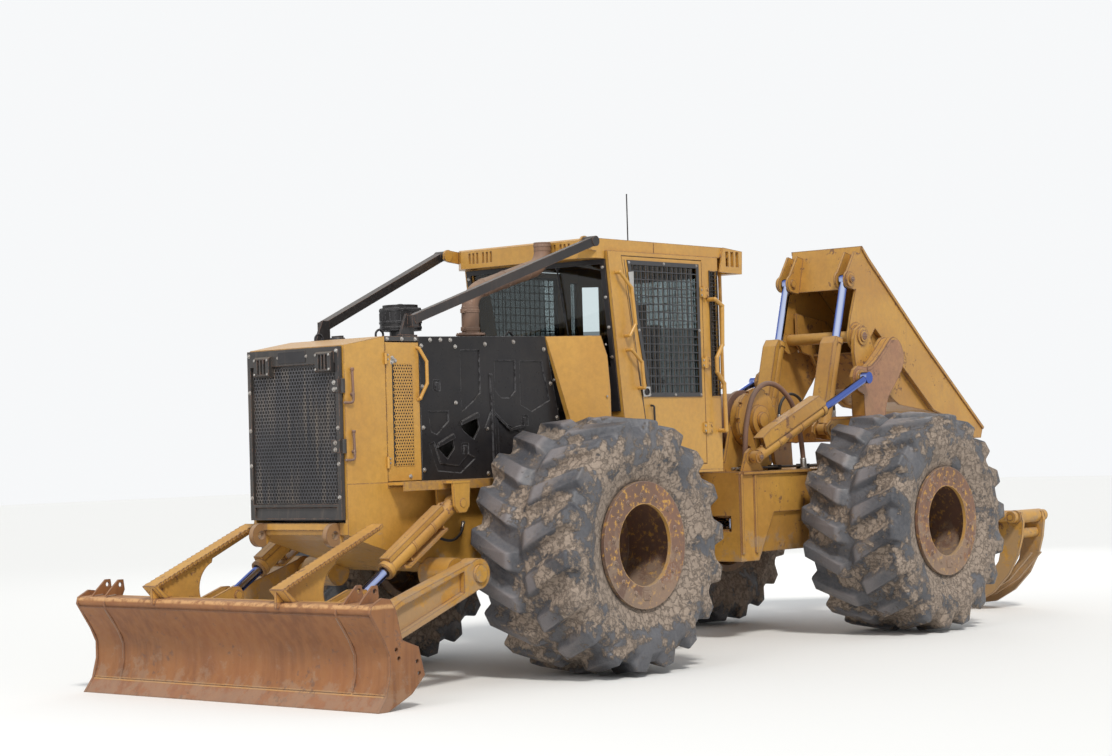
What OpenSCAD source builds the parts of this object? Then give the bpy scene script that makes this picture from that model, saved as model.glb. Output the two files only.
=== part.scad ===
// Articulated wheeled log skidder with a front blade and a rear grapple.
// Millimetres. X runs forward, Y to the machine's left, Z up from the ground.
// Stations along X are counted from the front axle; the last line of the file
// moves the whole machine so that its middle stands on the origin.

/* [Running gear] */
// distance between the axles
wheelbase = 3900; // [3850:50:3950]
// outer radius of a tyre over its lugs, also the height of the axles
tyre_r = 900; // [880:10:910]
// width of a tyre
tyre_w = 910; // [860:10:920]
// middle of a tyre from the centre line
tyre_y = 1115; // [1115:5:1140]
// height of the tread lugs
lug_h = 62; // [40:2:70]
// number of lugs on each half of a tyre
lug_count = 18; // [16:1:20]
// radius of the rim where the tyre sits
rim_r = 410; // [390:5:430]
// width of the rim over its flanges
rim_w = 820; // [780:10:840]
// radius of the opening in the rim's outer ring
rim_hole_r = 283; // [260:5:300]
// radius of the axle housing
axle_r = 130; // [110:5:140]
// radius of the spindle in the wheel hub
spindle_r = 80; // [60:5:90]

/* [Front frame] */
// half width of the front frame and of the hood
frame_half = 463; // [455:1:470]
// thickness of the frame side plates
frame_t = 25; // [20:5:35]
// top of the front frame side plates
frame_top = 1385; // [1385:1:1390]
// half width of the ledge beside the engine
ledge_half = 620; // [600:5:625]
// station of the radiator end of the frame
front_x = 1797; // [1780:1:1810]
// radius of the pins of the centre joint
joint_pin_r = 55; // [45:5:60]
// station of the centre joint
joint_x = -1950; // [-1960:10:-1940]

/* [Blade] */
// height of the blade's push arm pivot
blade_pivot_z = 757; // [750:1:765]
// station of the blade's push arm pivot
blade_pivot_x = 1030; // [1025:1:1040]
// half width of the blade
blade_half = 1441; // [1400:10:1460]
// thickness of the blade's sheet
blade_t = 25; // [20:5:35]
// radius of the push arm pivots
arm_pin_r = 60; // [50:5:65]
// sideways middle of a push arm
arm_y = 860; // [855:5:870]
// width of a push arm
arm_w = 120; // [100:5:130]

/* [Cab] */
// half width of the cab
cab_half = 720; // [710:5:730]
// thickness of the cab walls
wall_t = 30; // [25:5:35]
// top of the cab walls
cab_top = 3020; // [3010:5:3025]
// height of the roof panel above the cab walls
roof_h = 90; // [80:1:100]
// thickness of the window glass
glass_t = 8; // [6:1:10]
// thickness of a cab door
door_t = 25; // [20:1:28]

/* [Rear frame and arch] */
// half width of the rear frame
rear_half = 550; // [540:5:560]
// top of the rear frame
rear_top = 1350; // [1340:1:1355]
// half width over the arch plates
arch_half = 515; // [510:1:518]
// thickness of the arch plates
arch_t = 35; // [30:5:40]
// half width of the boom
boom_half = 360; // [350:5:370]
// thickness of the boom plates
boom_t = 22; // [18:1:28]
// radius of the arch and boom pins
arch_pin_r = 50; // [40:5:55]

/* [Grapple] */
// sideways place of a tong's pin
tong_y = 635; // [630:1:640]
// height of a tong's pin
tong_z = 760; // [755:1:765]
// thickness of a tong plate
tong_t = 35; // [30:1:38]
// radius of the tong pins
tong_pin_r = 40; // [30:5:45]

/* [Fits] */
// clearance around a turning pin
pin_gap = 1; // [0.5:0.5:2]
// clearance between a door and its opening
door_gap = 6; // [5:1:8]
// clearance between plates that turn against each other
side_gap = 5; // [5:1:6]

/* [Hidden] */
$fn = 64;
yellow = [0.80, 0.56, 0.16];
black = [0.08, 0.08, 0.09];
steel = [0.55, 0.55, 0.58];
chrome = [0.75, 0.78, 0.82];
rubber = [0.14, 0.14, 0.14];
rust = [0.45, 0.24, 0.14];
glass = [0.35, 0.42, 0.42];
axle_z = tyre_r;
rear_x = -wheelbase;
// move from the front axle to the middle of the machine's length
mid_shift = 2026;

// blade lift cylinder: fixed eye and rod eye, station and height
lift_base = [950, 1230];
lift_eye = [1877, 640];
lift_y = 620;
// arch cylinder and arch pivot
arch_pivot = [-4500, 1240];
arch_base = [-2600, 1463];
arch_eye = [-4200, 2100];
arch_cyl_y = 582;
// boom pivot and boom cylinder
boom_pivot = [-4400, 2465];
boom_base = [-3955, 1680];
boom_eye = [-4329, 2956];
boom_cyl_y = 300;
// steering cylinder eyes, station and sideways place
steer_base = [-1500, 270];
steer_eye = [-2520, 360];
steer_z = 940;
// tow eyes at the front and the pin hole at the rear
tow_eye = [1840, 1048];
drawbar = [-4935, 1060];
// grapple
tip = [-6330, 1640];
// hinge lines of the doors, station and sideways place
service_hinge = [1418, frame_half + 10.3];
door_hinge = [-1781, cab_half + 12.3];
screen_hinge = [front_x + 16.3, 462];
door_hinge_z = [1660, 2160, 2700];
swing_z = 1390;
shoulder = [850, 840];
grapple_cyl_x = 262;
winch = [-2880, 1760];

module box(x0, x1, y0, y1, z0, z1) {
    translate([x0, y0, z0]) cube([x1 - x0, y1 - y0, z1 - z0]);
}

// flat plate drawn in side view
module side_plate(points, y0, y1) {
    translate([0, y1, 0]) rotate([90, 0, 0]) linear_extrude(height = y1 - y0) polygon(points);
}

// flat plate drawn from above
module flat_plate(points, z0, z1) {
    translate([0, 0, z0]) linear_extrude(height = z1 - z0) polygon(points);
}

// flat plate drawn from the front
module cross_plate(points, x0, x1) {
    translate([x0, 0, 0]) rotate([90, 0, 90]) linear_extrude(height = x1 - x0) polygon(points);
}

module pin_y(x, z, r, y0, y1) {
    translate([x, y1, z]) rotate([90, 0, 0]) cylinder(h = y1 - y0, r = r);
}

module pin_x(y, z, r, x0, x1) {
    translate([x0, y, z]) rotate([0, 90, 0]) cylinder(h = x1 - x0, r = r);
}

module pin_z(x, y, r, z0, z1) {
    translate([x, y, z0]) cylinder(h = z1 - z0, r = r);
}

module both_sides() {
    children();
    mirror([0, 1, 0]) children();
}

// round bar between two points
module bar(p, q, r) {
    d = q - p;
    l = norm(d);
    translate(p) rotate([0, acos(d[2] / l), atan2(d[1], d[0])]) cylinder(h = l, r = r);
}

// bent round bar through a list of points
module rail(points, r) {
    for (i = [0:len(points) - 2]) {
        bar(points[i], points[i + 1], r);
    }
    for (i = [1:len(points) - 2]) {
        translate(points[i]) sphere(r * 1.08);
    }
}

// angle of the line from p to q in side view
function slope(p, q) = atan2(q[1] - p[1], q[0] - p[0]);
function span(p, q) = norm(q - p);

// cylinder tube along X from its eye at the origin, mouth at l
module tube_part(l, r, bore_r, eye_r, eye_w, pin_r) {
    difference() {
        union() {
            translate([eye_r * 0.6, 0, 0]) rotate([0, 90, 0]) cylinder(h = l - eye_r * 0.6, r = r);
            pin_y(0, 0, eye_r, -eye_w / 2, eye_w / 2);
            translate([l - 45, 0, 0]) rotate([0, 90, 0]) cylinder(h = 45, r = r + 8);
        }
        pin_y(0, 0, pin_r + pin_gap, -eye_w, eye_w);
        translate([eye_r + 30, 0, 0]) rotate([0, 90, 0]) cylinder(h = l, r = bore_r);
    }
}

// rod along X from inside its tube, at a, to its eye at l
module rod_part(a, l, r, eye_r, eye_w) {
    translate([a, 0, 0]) rotate([0, 90, 0]) cylinder(h = l - eye_r * 0.6 - a, r = r);
    pin_y(l, 0, eye_r, -eye_w / 2, eye_w / 2);
}

// puts a cylinder drawn along X onto the line from p to q, in side view at y
module aim(p, q, y) {
    translate([p[0], y, p[1]]) rotate([0, -slope(p, q), 0]) children();
}

// Front body

belly = [[1797, 1048], [1709, 1010], [908, 761], [560, 730]];

module front_frame() {
    color(yellow) {
        difference() {
            union() {
                both_sides() {
                    side_plate([[front_x, frame_top], [front_x, 1048], [1709, 1010], [908, 761],
                        [560, 730], [360, 1100], [-360, 1100], [-560, 600], [-1620, 600],
                        [-1620, frame_top]], frame_half - frame_t, frame_half);
                }
                side_plate([[front_x, 1048], [1709, 1010], [908, 761], [560, 730], [560, 750],
                    [905, 781], [1703, 1030], [front_x, 1070]], -frame_half, frame_half);
                box(1480, front_x, -frame_half, frame_half, 1110, 1130);
                box(front_x - 25, front_x, -frame_half, frame_half, 1050, 1130);
                box(-340, 340, -frame_half, frame_half, 1100, 1125);
                box(820, 900, -frame_half, frame_half, 1080, 1120);
                box(-1430, -560, -frame_half, frame_half, 600, 620);
                box(-1430, -1405, -frame_half, frame_half, 600, frame_top);
                box(540, 560, -frame_half, frame_half, 740, 1120);
                // deck under the cab
                intersection() {
                    box(-2150, -900, -cab_half, cab_half, 1365, frame_top);
                    flat_plate(cab_plan(0), 1300, frame_top);
                }
                // centre joint plates
                for (z = [600, 720, 1165, 1285]) {
                    flat_plate([[-1400, frame_half], [-1620, frame_half], [joint_x, 140],
                        [joint_x, -140], [-1620, -frame_half], [-1400, -frame_half]],
                        z, z + 40);
                    pin_z(joint_x, 0, 140, z, z + 40);
                }
                // steering cylinder brackets
                both_sides() {
                    for (z = [steer_z - 75, steer_z + 45]) {
                        box(-1430, steer_base[0], steer_base[1] - 60, steer_base[1] + 60,
                            z, z + 30);
                        pin_z(steer_base[0], steer_base[1], 60, z, z + 30);
                    }
                    pin_z(steer_base[0], steer_base[1], 28, steer_z - 85, steer_z + 85);
                }
                pin_z(joint_x, 0, joint_pin_r, 592, 768);
                pin_z(joint_x, 0, joint_pin_r, 1157, 1333);
                // ledge with its lip, gusset and lift cylinder hanger
                both_sides() {
                    box(-900, 1420, frame_half - 5, ledge_half, 1365, frame_top);
                    box(-900, 1420, ledge_half - 12, ledge_half, 1325, frame_top);
                    box(-200, 1420, frame_half + 2, ledge_half, frame_top - 5, frame_top + 2);
                    box(870, 1050, frame_half - 5, 712, 1365, frame_top);
                    cross_plate([[frame_half - 5, 1375], [ledge_half, 1375], [600, 1165],
                        [frame_half - 5, 1165]], 840, 855);
                    for (y = [lift_y - 90, lift_y + 67]) {
                        side_plate([[875, 1375], [1040, 1375], [1030, 1210], [990, 1165],
                            [920, 1165], [885, 1210]], y, y + 23);
                    }
                    pin_y(lift_base[0], lift_base[1], 30, lift_y - 95, lift_y + 95);
                    // trunnion of the push arm
                    pin_y(blade_pivot_x, blade_pivot_z, 105, frame_half - 20, 720);
                    pin_y(blade_pivot_x, blade_pivot_z, arm_pin_r, 715, arm_y + arm_w / 2 + 20);
                    // tow eyes
                    side_plate([[1760, 1130], [1760, 1030], [1832, 970], [1832, 1130]], 342, 382);
                    pin_y(tow_eye[0], tow_eye[1], 80, 342, 382);
                }
                box(1786, 1822, -345, 345, 1082, 1128);
            }
            both_sides() {
                pin_y(tow_eye[0], tow_eye[1], 30, 335, 390);
            }
        }
    }
}

module axle_assembly(x) {
    translate([x, 0, 0]) {
        pin_y(0, axle_z, axle_r, -700, 700);
        pin_y(0, axle_z, 200, -150, 150);
        pin_x(0, axle_z, 90, 60, 330);
        both_sides() {
            pin_y(0, axle_z, 215, 640, 700);
            pin_y(0, axle_z, 170, 690, tyre_y - 140);
            pin_y(0, axle_z, spindle_r, tyre_y - 150, tyre_y - 60);
        }
    }
}

module front_axle() {
    color(yellow) {
        mirror([1, 0, 0]) axle_assembly(0);
        both_sides() {
            box(-130, 130, 260, 400, axle_z, 1100);
        }
    }
}

module rear_axle() {
    color(yellow) {
        axle_assembly(rear_x);
        both_sides() {
            box(rear_x - 130, rear_x + 130, 300, 500, axle_z, 1040);
        }
    }
}

module transmission() {
    color(steel) {
        box(-1300, -480, -280, 280, 620, 1150);
        pin_x(0, axle_z, 50, -480, -335);
    }
}

module engine_block() {
    color(steel) {
        box(-120, 1000, -300, 300, 1125, 2050);
    }
}

module radiator_core() {
    color(black) {
        box(1520, 1650, 48 - frame_half, frame_half - 48, 1130, 2240);
    }
}

// top line of the hood in side view
hood_top = [[front_x, 2308], [1420, 2372], [1088, 2374], [-220, 2397]];

module hood() {
    color(yellow) {
        difference() {
            side_plate([[front_x, frame_top], [front_x, 2308], [1420, 2372], [1088, 2374],
                [1088, 2340], [1416, 2340], [1416, frame_top]], -frame_half, frame_half);
            side_plate([[front_x + 5, 1300], [front_x + 5, 2294], [1421, 2358], [1000, 2361],
                [1000, 2330], [1400, 2330], [1400, 1300]], -frame_half + 12, frame_half - 12);
        }
        // radiator surround
        difference() {
            box(front_x - 30, front_x, -frame_half, frame_half, frame_top, 2300);
            box(front_x - 40, front_x + 10, -400, 400, 1170, 2240);
        }
    }
}

// sunk fields of the engine side panel in side view
panel_fields = [
    [[676, 2285], [481, 2287], [481, 1985], [560, 1925], [676, 1850]],
    [[324, 2215], [110, 2217], [110, 2000], [170, 1950], [260, 1950], [324, 2000]],
    [[60, 2215], [-180, 2215], [-255, 1930], [-60, 1850], [60, 1900]],
    [[1010, 1860], [810, 1860], [810, 1790], [930, 1700], [985, 1720]],
    [[300, 1800], [60, 1700], [-300, 1600], [-330, 1440], [60, 1440], [300, 1500]],
    [[1010, 1640], [960, 1650], [900, 1500], [720, 1480], [620, 1560], [545, 1530],
        [700, 1430], [930, 1450]]];
// dark openings that step down to the front
panel_openings = [
    [[690, 1790], [520, 1850], [500, 1740], [560, 1660], [660, 1720]],
    [[925, 1640], [775, 1705], [760, 1600], [830, 1530], [905, 1590]]];
// pull latches: station, height
panel_latches = [[920, 2040], [18, 1788], [650, 1600]];

module engine_panels() {
    color(black) {
        difference() {
            union() {
                difference() {
                    side_plate([[1084, frame_top], [1084, 2374], [-220, 2397], [-354, 1808],
                        [-420, frame_top]], -frame_half, frame_half);
                    side_plate([[1040, 1300], [1040, 2361], [-600, 2390], [-600, 1300]],
                        -frame_half + 14, frame_half - 14);
                }
                both_sides() {
                    // rib down the middle with its two arms
                    side_plate([[385, 2120], [360, 2120], [345, 1830], [330, frame_top + 10],
                        [365, frame_top + 10], [372, 1830]], frame_half - 2, frame_half + 10);
                    side_plate([[372, 1835], [430, 1730], [446, 1738], [385, 1850]],
                        frame_half - 2, frame_half + 8);
                    side_plate([[350, 1835], [180, 1712], [5, 1745], [5, 1765], [180, 1733],
                        [345, 1855]], frame_half - 2, frame_half + 8);
                    for (p = panel_openings) {
                        side_plate([p[0], p[1], p[1] + [-14, -32], p[0] + [14, -30]],
                            frame_half - 2, frame_half + 16);
                    }
                }
                pin_z(790, 0, 100, 2370, 2382);
                pin_z(400, 310, 95, 2375, 2390);
            }
            both_sides() {
                for (p = panel_fields) {
                    side_plate(p, frame_half - 8, frame_half + 1);
                }
                for (p = panel_openings) {
                    side_plate([p[0] + [0, -34], p[1] + [0, -34], p[2], p[3], p[4]],
                        frame_half - 20, frame_half + 1);
                }
                for (p = panel_latches) {
                    box(p[0] - 34, p[0] + 34, frame_half - 6, frame_half + 20,
                        p[1] - 36, p[1] + 36);
                }
            }
        }
        both_sides() {
            for (p = panel_latches) {
                box(p[0] - 14, p[0] + 14, frame_half - 10, frame_half + 4, p[1] - 40, p[1] + 20);
            }
        }
    }
}

module cowl() {
    color(yellow) {
        both_sides() {
            difference() {
                flat_plate([[-228, frame_half], [-228, frame_half - 12], [-700, frame_half - 12],
                    [-700, cab_half - 20], [-640, cab_half - 20], [-480, 640], [-330, 540]],
                    frame_top, 2395);
                flat_plate([[-200, frame_half - 20], [-640, frame_half - 20], [-715, 500],
                    [-715, 670], [-640, 665], [-480, 600], [-330, 500], [-240, frame_half - 12]],
                    1300, 2380);
                side_plate([[-360, 1808], [-228, 2400], [-100, 2400], [-100, 1300], [-430, 1300]],
                    0, 800);
                side_plate([[-560, 2500], [-640, 2250], [-665, 2000], [-672, 1300],
                    [-900, 1300], [-900, 2500]], 600, 900);
                // room for the tyre
                pin_y(0, axle_z, tyre_r + 40, 600, 900);
            }
        }
    }
}

// side view of the cab
cab_side = [[-650, cab_top], [-792, 1800], [-940, frame_top], [-2150, frame_top],
    [-2150, cab_top]];
// side view of the door opening
door_hole = [[-806, 2990], [-1032, 1801], [-1078, 1430], [-1775, 1430], [-1775, 2990]];

// plan of the cab with its cut rear corners, drawn in by d
function cab_plan(d) = [[-400, cab_half - d], [-1975 + d * 0.4, cab_half - d],
    [-2150 + d, 580 - d * 0.4], [-2150 + d, -580 + d * 0.4],
    [-1975 + d * 0.4, -cab_half + d], [-400, -cab_half + d]];

module cab_shell() {
    color(yellow) {
        difference() {
            intersection() {
                side_plate(cab_side, -cab_half, cab_half);
                flat_plate(cab_plan(0), frame_top, cab_top);
            }
            intersection() {
                side_plate([[-682, cab_top + 10], [-822, 1803], [-965, frame_top + wall_t],
                    [-2200, frame_top + wall_t], [-2200, cab_top + 10]], -cab_half, cab_half);
                flat_plate(cab_plan(wall_t), frame_top, cab_top + 10);
            }
            side_plate(door_hole, -cab_half - 10, cab_half + 10);
            // windscreen
            box(-900, -600, -640, 640, 2160, cab_top - 60);
            // rear window
            box(-2200, -2100, -420, 420, 1950, 2930);
            // rear side windows
            box(-1955, -1868, -900, 900, 1950, 2910);
            // windows in the cut corners
            both_sides() {
                translate([-2062, 650, 0]) rotate([0, 0, atan2(140, 175)])
                    box(-70, 70, -100, 100, 1990, 2880);
            }
        }
    }
}

roof_side = [[-476, 2962], [-476, 3096], [-500, cab_top + roof_h], [-2040, cab_top + roof_h - 10],
    [-2285, 3080], [-2275, 2900], [-2152, 2900], [-2152, cab_top], [-650, cab_top],
    [-640, 2962]];

module cab_roof() {
    color(yellow) {
        difference() {
            union() {
                intersection() {
                    side_plate(roof_side, -cab_half, cab_half);
                    flat_plate([[-476, 590], [-560, 694], [-2285, cab_half], [-2285, -cab_half],
                        [-560, -694], [-476, -590]], 2800, 3200);
                }
                both_sides() {
                    // bosses for the limb risers
                    side_plate([[-600, 3010], [-600, 3100], [-440, 3116], [-385, 3090], [-385, 3045],
                        [-431, 3025]], 680, 694);
                    pin_y(-431, 3073, 46, 676, 694);
                    // sides of the rear box
                    side_plate([[-2040, 3100], [-2285, 3078], [-2275, 2900], [-2215, 2900],
                        [-1985, 2908]], cab_half + 2, cab_half + 14);
                    side_plate([[-2040, 3098], [-2280, 3076], [-2270, 2905], [-2160, 2905],
                        [-2160, 3025], [-2010, 3025]], cab_half - 30, cab_half + 4);
                }
            }
            // slots of the visor, of the rear box and the roof seam
            both_sides() {
                for (y = [270, 310, 350, 410, 450, 490]) {
                    box(-490, -470, y, y + 18, 3000, 3078);
                }
                for (x = [-2235, -2170, -2105]) {
                    box(x, x + 36, cab_half - 12, cab_half + 30, 2955, 3070);
                }
                box(-1216, -1210, 690, cab_half + 5, cab_top - 5, 3200);
            }
            box(-1216, -1210, -cab_half, cab_half, cab_top + roof_h - 8, 3200);
            side_plate([[-700, cab_top - 1], [-700, cab_top + 60], [-2120, cab_top + 50],
                [-2120, cab_top - 1]], -cab_half + 60, cab_half - 60);
            side_plate([[-500, 2900], [-500, cab_top + 50], [-620, cab_top + 50], [-620, 2900]],
                -560, 560);
        }
    }
}

module cab_glass() {
    color(glass) {
        side_plate([[-665, cab_top - 60], [-758, 2160], [-758 - glass_t, 2160],
            [-665 - glass_t, cab_top - 60]], -640, 640);
        box(-2140, -2140 + glass_t, -420, 420, 1950, 2930);
        both_sides() {
            box(-1955, -1868, cab_half - 20, cab_half - 20 + glass_t, 1950, 2910);
        }
    }
}

module windscreen_frame() {
    color(black) {
        difference() {
            side_plate([[-640, 2960], [-782, 1800], [-925, 1400], [-934.3, 1400],
                [-791.7, 1800], [-656.6, 2960]], -694, 694);
            box(-900, -600, -650, 650, 2170, 2925);
            box(-900, -600, -610, 610, 1860, 2110);
            for (s = [-1, 1]) {
                box(-960, -700, s > 0 ? 606 : -800, s > 0 ? 800 : -606, 1300, 1840);
            }
        }
        side_plate([[-748, 2112], [-778, 1858], [-784.9, 1858], [-755.3, 2112]], -612, 612);
    }
}

module cab_interior() {
    color(black) {
        box(-1750, -1350, -180, 180, frame_top + wall_t, 1700);
        box(-1800, -1280, -260, 260, 1700, 1820);
        side_plate([[-1800, 1800], [-1690, 1800], [-1780, 2520], [-1860, 2520]], -240, 240);
        both_sides() {
            box(-1800, -1320, 290, 400, frame_top + wall_t, 1950);
        }
        box(-1040, -980, -300, 300, frame_top + wall_t, 1950);
    }
}

module air_precleaner() {
    color(black) {
        translate([790, 0, 0]) {
            pin_z(0, 0, 80, 2382, 2450);
            pin_z(0, 0, 152, 2492, 2506);
            pin_z(0, 0, 147, 2440, 2600);
            pin_z(0, 0, 125, 2595, 2622);
        }
    }
}

// exhaust from the engine panel over two elbows to the upright stack
module exhaust_stack() {
    color(rust) {
        y = 310;
        bend = 150;
        r = 60;
        turn = 74;
        low = [400 - bend, 2590];
        high = [-395 + bend, 3044];
        p = low + (bend * [cos(turn), sin(turn)] + 12 * [sin(turn), -cos(turn)]);
        q = high - (bend * [cos(turn), sin(turn)] + 12 * [sin(turn), -cos(turn)]);
        pin_z(400, y, 85, 2390.3, 2420);
        pin_z(400, y, r + 3, 2410, low[1] + 12);
        translate([low[0], y, low[1]]) rotate([90, 0, 0])
            rotate_extrude(angle = turn) translate([bend, 0]) circle(r);
        translate([p[0], y, p[1]]) rotate([0, -slope(p, q), 0]) rotate([0, 90, 0])
            cylinder(h = span(p, q), r = r + 3);
        difference() {
            union() {
                translate([high[0], y, high[1]]) rotate([90, 0, 0])
                    rotate_extrude(angle = turn, start = 180) translate([bend, 0]) circle(r);
                pin_z(-395, y, r + 3, high[1] - 12, 3096);
            }
            pin_z(-395, y, r - 6, high[1] + 8, 3110);
        }
    }
}

riser_low = [1123, 441, 2490];
riser_high = [-431, 765, 3073];

module limb_risers() {
    color(black) {
        both_sides() {
            d = riser_high - riser_low;
            l = norm(d);
            translate(riser_low) rotate([0, 0, atan2(d[1], d[0])])
                rotate([0, -asin(d[2] / l), 0]) box(0, l, -32, 32, -32, 32);
            side_plate([[1090, 2374], [1230, 2374], [1160, 2530], [1090, 2530]], 405, 425);
            box(1090, 1230, 395, 455, 2374, 2386);
            box(1090, 1150, 405, 470, 2440, 2520);
            pin_y(-431, 3073, 38, 694, 800);
        }
    }
}

module grab_rails() {
    color(yellow) {
        both_sides() {
            rail([[-736, cab_half, 2860], [-736, 765, 2860], [-850, 778, 2745], [-884, 778, 2480],
                [-826, 768, 2395], [-826, cab_half, 2395]], 13);
            rail([[-842, cab_half, 2290], [-842, 768, 2290], [-950, 775, 2200], [-968, 775, 2010],
                [-968, cab_half, 2010]], 13);
            // bent post behind the rear side window
            rail([[-2215, 560, 2899.7], [-2215, 560, 2060], [-2190, 560, 2020], [-2150.3, 560, 2020]], 14);
            rail([[-1840, cab_half, 2690], [-1840, 790, 2690], [-1932, 790, 2640],
                [-1920, 790, 2340], [-1845, 790, 2240], [-1845, 790, 2130], [-1928, 790, 2040],
                [-1938, 790, 1680], [-1938, cab_half, 1680]], 16);
        }
    }
}

module antenna() {
    color(black) {
        pin_z(-1345, 350, 22, cab_top + roof_h - 5.3, cab_top + roof_h + 30);
        pin_z(-1345, 350, 5, cab_top + roof_h + 25, 3510);
    }
}

module access_step() {
    color(black) {
        both_sides() {
            for (z = [560, 860]) {
                box(-1560, -1180, 560, 760, z, z + 25);
            }
            for (x = [-1575, -1180]) {
                box(x, x + 15, 560, 760, 560, 1365);
            }
        }
    }
}

// lamp guards of the front screen: middle, height of the lower edge
lamp_guards = [[-275, 2118], [330, 2128]];

module radiator_screen() {
    w = frame_half - 15;
    color(black) {
        difference() {
            box(front_x + 6, front_x + 40, -w, w, 1150, 2300);
            box(front_x + 14, front_x + 50, 30 - w, w - 30, 1255, 2190);
            box(front_x, front_x + 50, 50 - w, w - 50, 1280, 2165);
            // lower valance, hollow in front
            side_plate([[front_x + 24, 1230], [front_x + 50, 1240], [front_x + 50, 1165],
                [front_x + 32, 1160]], 45 - w, w - 45);
        }
        box(front_x + 11, front_x + 15, 45 - w, w - 45, 1270, 2170);
        for (g = lamp_guards) {
            difference() {
                side_plate([[front_x + 12, g[1]], [front_x + 52, g[1]], [front_x + 70, g[1] + 12],
                    [front_x + 70, g[1] + 128], [front_x + 52, g[1] + 140],
                    [front_x + 12, g[1] + 140]], g[0] - 75, g[0] + 75);
                for (y = [-32, 0, 32]) {
                    box(front_x + 40, front_x + 80, g[0] + y - 9, g[0] + y + 9,
                        g[1] + 22, g[1] + 120);
                }
            }
        }
    }
    color(rust) {
        for (z = [1590, 1990]) {
            pin_z(screen_hinge[0], screen_hinge[1], 16, z, z + 95);
            box(front_x + 8, front_x + 30, w - 20, screen_hinge[1], z + 10, z + 85);
            box(front_x + 30, front_x + 48, w - 75, w + 2, z + 5, z + 90);
        }
    }
}

module service_door() {
    side_plate([[1092, 1392], [1092, 2332], [1410, 2332], [1410, 1392]], frame_half - 12, frame_half);
    for (z = [1480, 2180]) {
        pin_z(service_hinge[0], service_hinge[1], 10, z, z + 80);
        box(1395, service_hinge[0], frame_half, frame_half + 12, z + 8, z + 72);
        box(1395, 1408, frame_half - 6, frame_half + 12, z + 8, z + 72);
    }
    rail([[1110, frame_half - 5, 2300], [1104, frame_half + 20, 2290], [1060, frame_half + 45, 2200],
        [1060, frame_half + 45, 2050], [1104, frame_half + 20, 1950],
        [1110, frame_half - 5, 1940]], 12);
}

module left_service_door() {
    color(yellow) service_door();
}

module right_service_door() {
    color(yellow) mirror([0, 1, 0]) service_door();
}

door_window_line = [[-880, 2945], [-1088, 1955], [-1718, 1955], [-1718, 2945]];

// door with its window hole, left side
module door_panel() {
    g = door_gap;
    difference() {
        side_plate([[-806 - g, 2990 - g], [-1032 - g, 1801], [-1078 - g, 1430 + g],
            [-1775 + g, 1430 + g], [-1775 + g, 2990 - g]], cab_half - door_t, cab_half);
        side_plate(door_window_line, cab_half - door_t - 5, cab_half + 5);
    }
    for (z = door_hinge_z) {
        pin_z(door_hinge[0], door_hinge[1], 12, z, z + 90);
        box(door_hinge[0], -1735, cab_half, cab_half + 14, z + 8, z + 82);
        box(-1765, -1735, cab_half - 6, cab_half + 14, z + 8, z + 82);
    }
}

module door_window() {
    side_plate(door_window_line, cab_half - door_t + 4, cab_half - door_t + 4 + glass_t);
}

// mesh guard over the door window, outside the glass
module window_guard() {
    difference() {
        side_plate([[-866, 2958], [-1078, 1943], [-1730, 1943], [-1730, 2958]],
            cab_half, cab_half + 8);
        side_plate([[-905, 2925], [-1105, 1975], [-1698, 1975], [-1698, 2925]],
            cab_half - 1, cab_half + 9);
    }
    for (x = [-1640:58:-1118]) {
        box(x, x + 8, cab_half, cab_half + 5, 1970, 2930);
    }
    for (k = [0:3]) {
        box(-1085 + k * 48, -1077 + k * 48, cab_half, cab_half + 5, 2075 + k * 228, 2930);
    }
    for (z = [2035:60:2900]) {
        box(-1700, -1095 + (z - 2035) * 0.21, cab_half + 1, cab_half + 6, z, z + 8);
    }
}

module left_door() {
    color(yellow) door_panel();
    color(black) window_guard();
}

module right_door() {
    color(yellow) mirror([0, 1, 0]) door_panel();
    color(black) mirror([0, 1, 0]) window_guard();
}

module left_door_glass() {
    color(glass) door_window();
}

module right_door_glass() {
    color(glass) mirror([0, 1, 0]) door_window();
}

// Blade

// section of the blade sheet, from the cutting edge over the crease to the rolled top
blade_face = [[2510, 0], [2435, 95], [2395, 230], [2395, 335], [2440, 430], [2556, 596]];
blade_back = [[2530, 612], [2415, 445], [2368, 345], [2368, 225], [2410, 85], [2478, 0]];
// ribs on the blade face, as sideways places
blade_ribs = [-1150, 1120];

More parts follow.
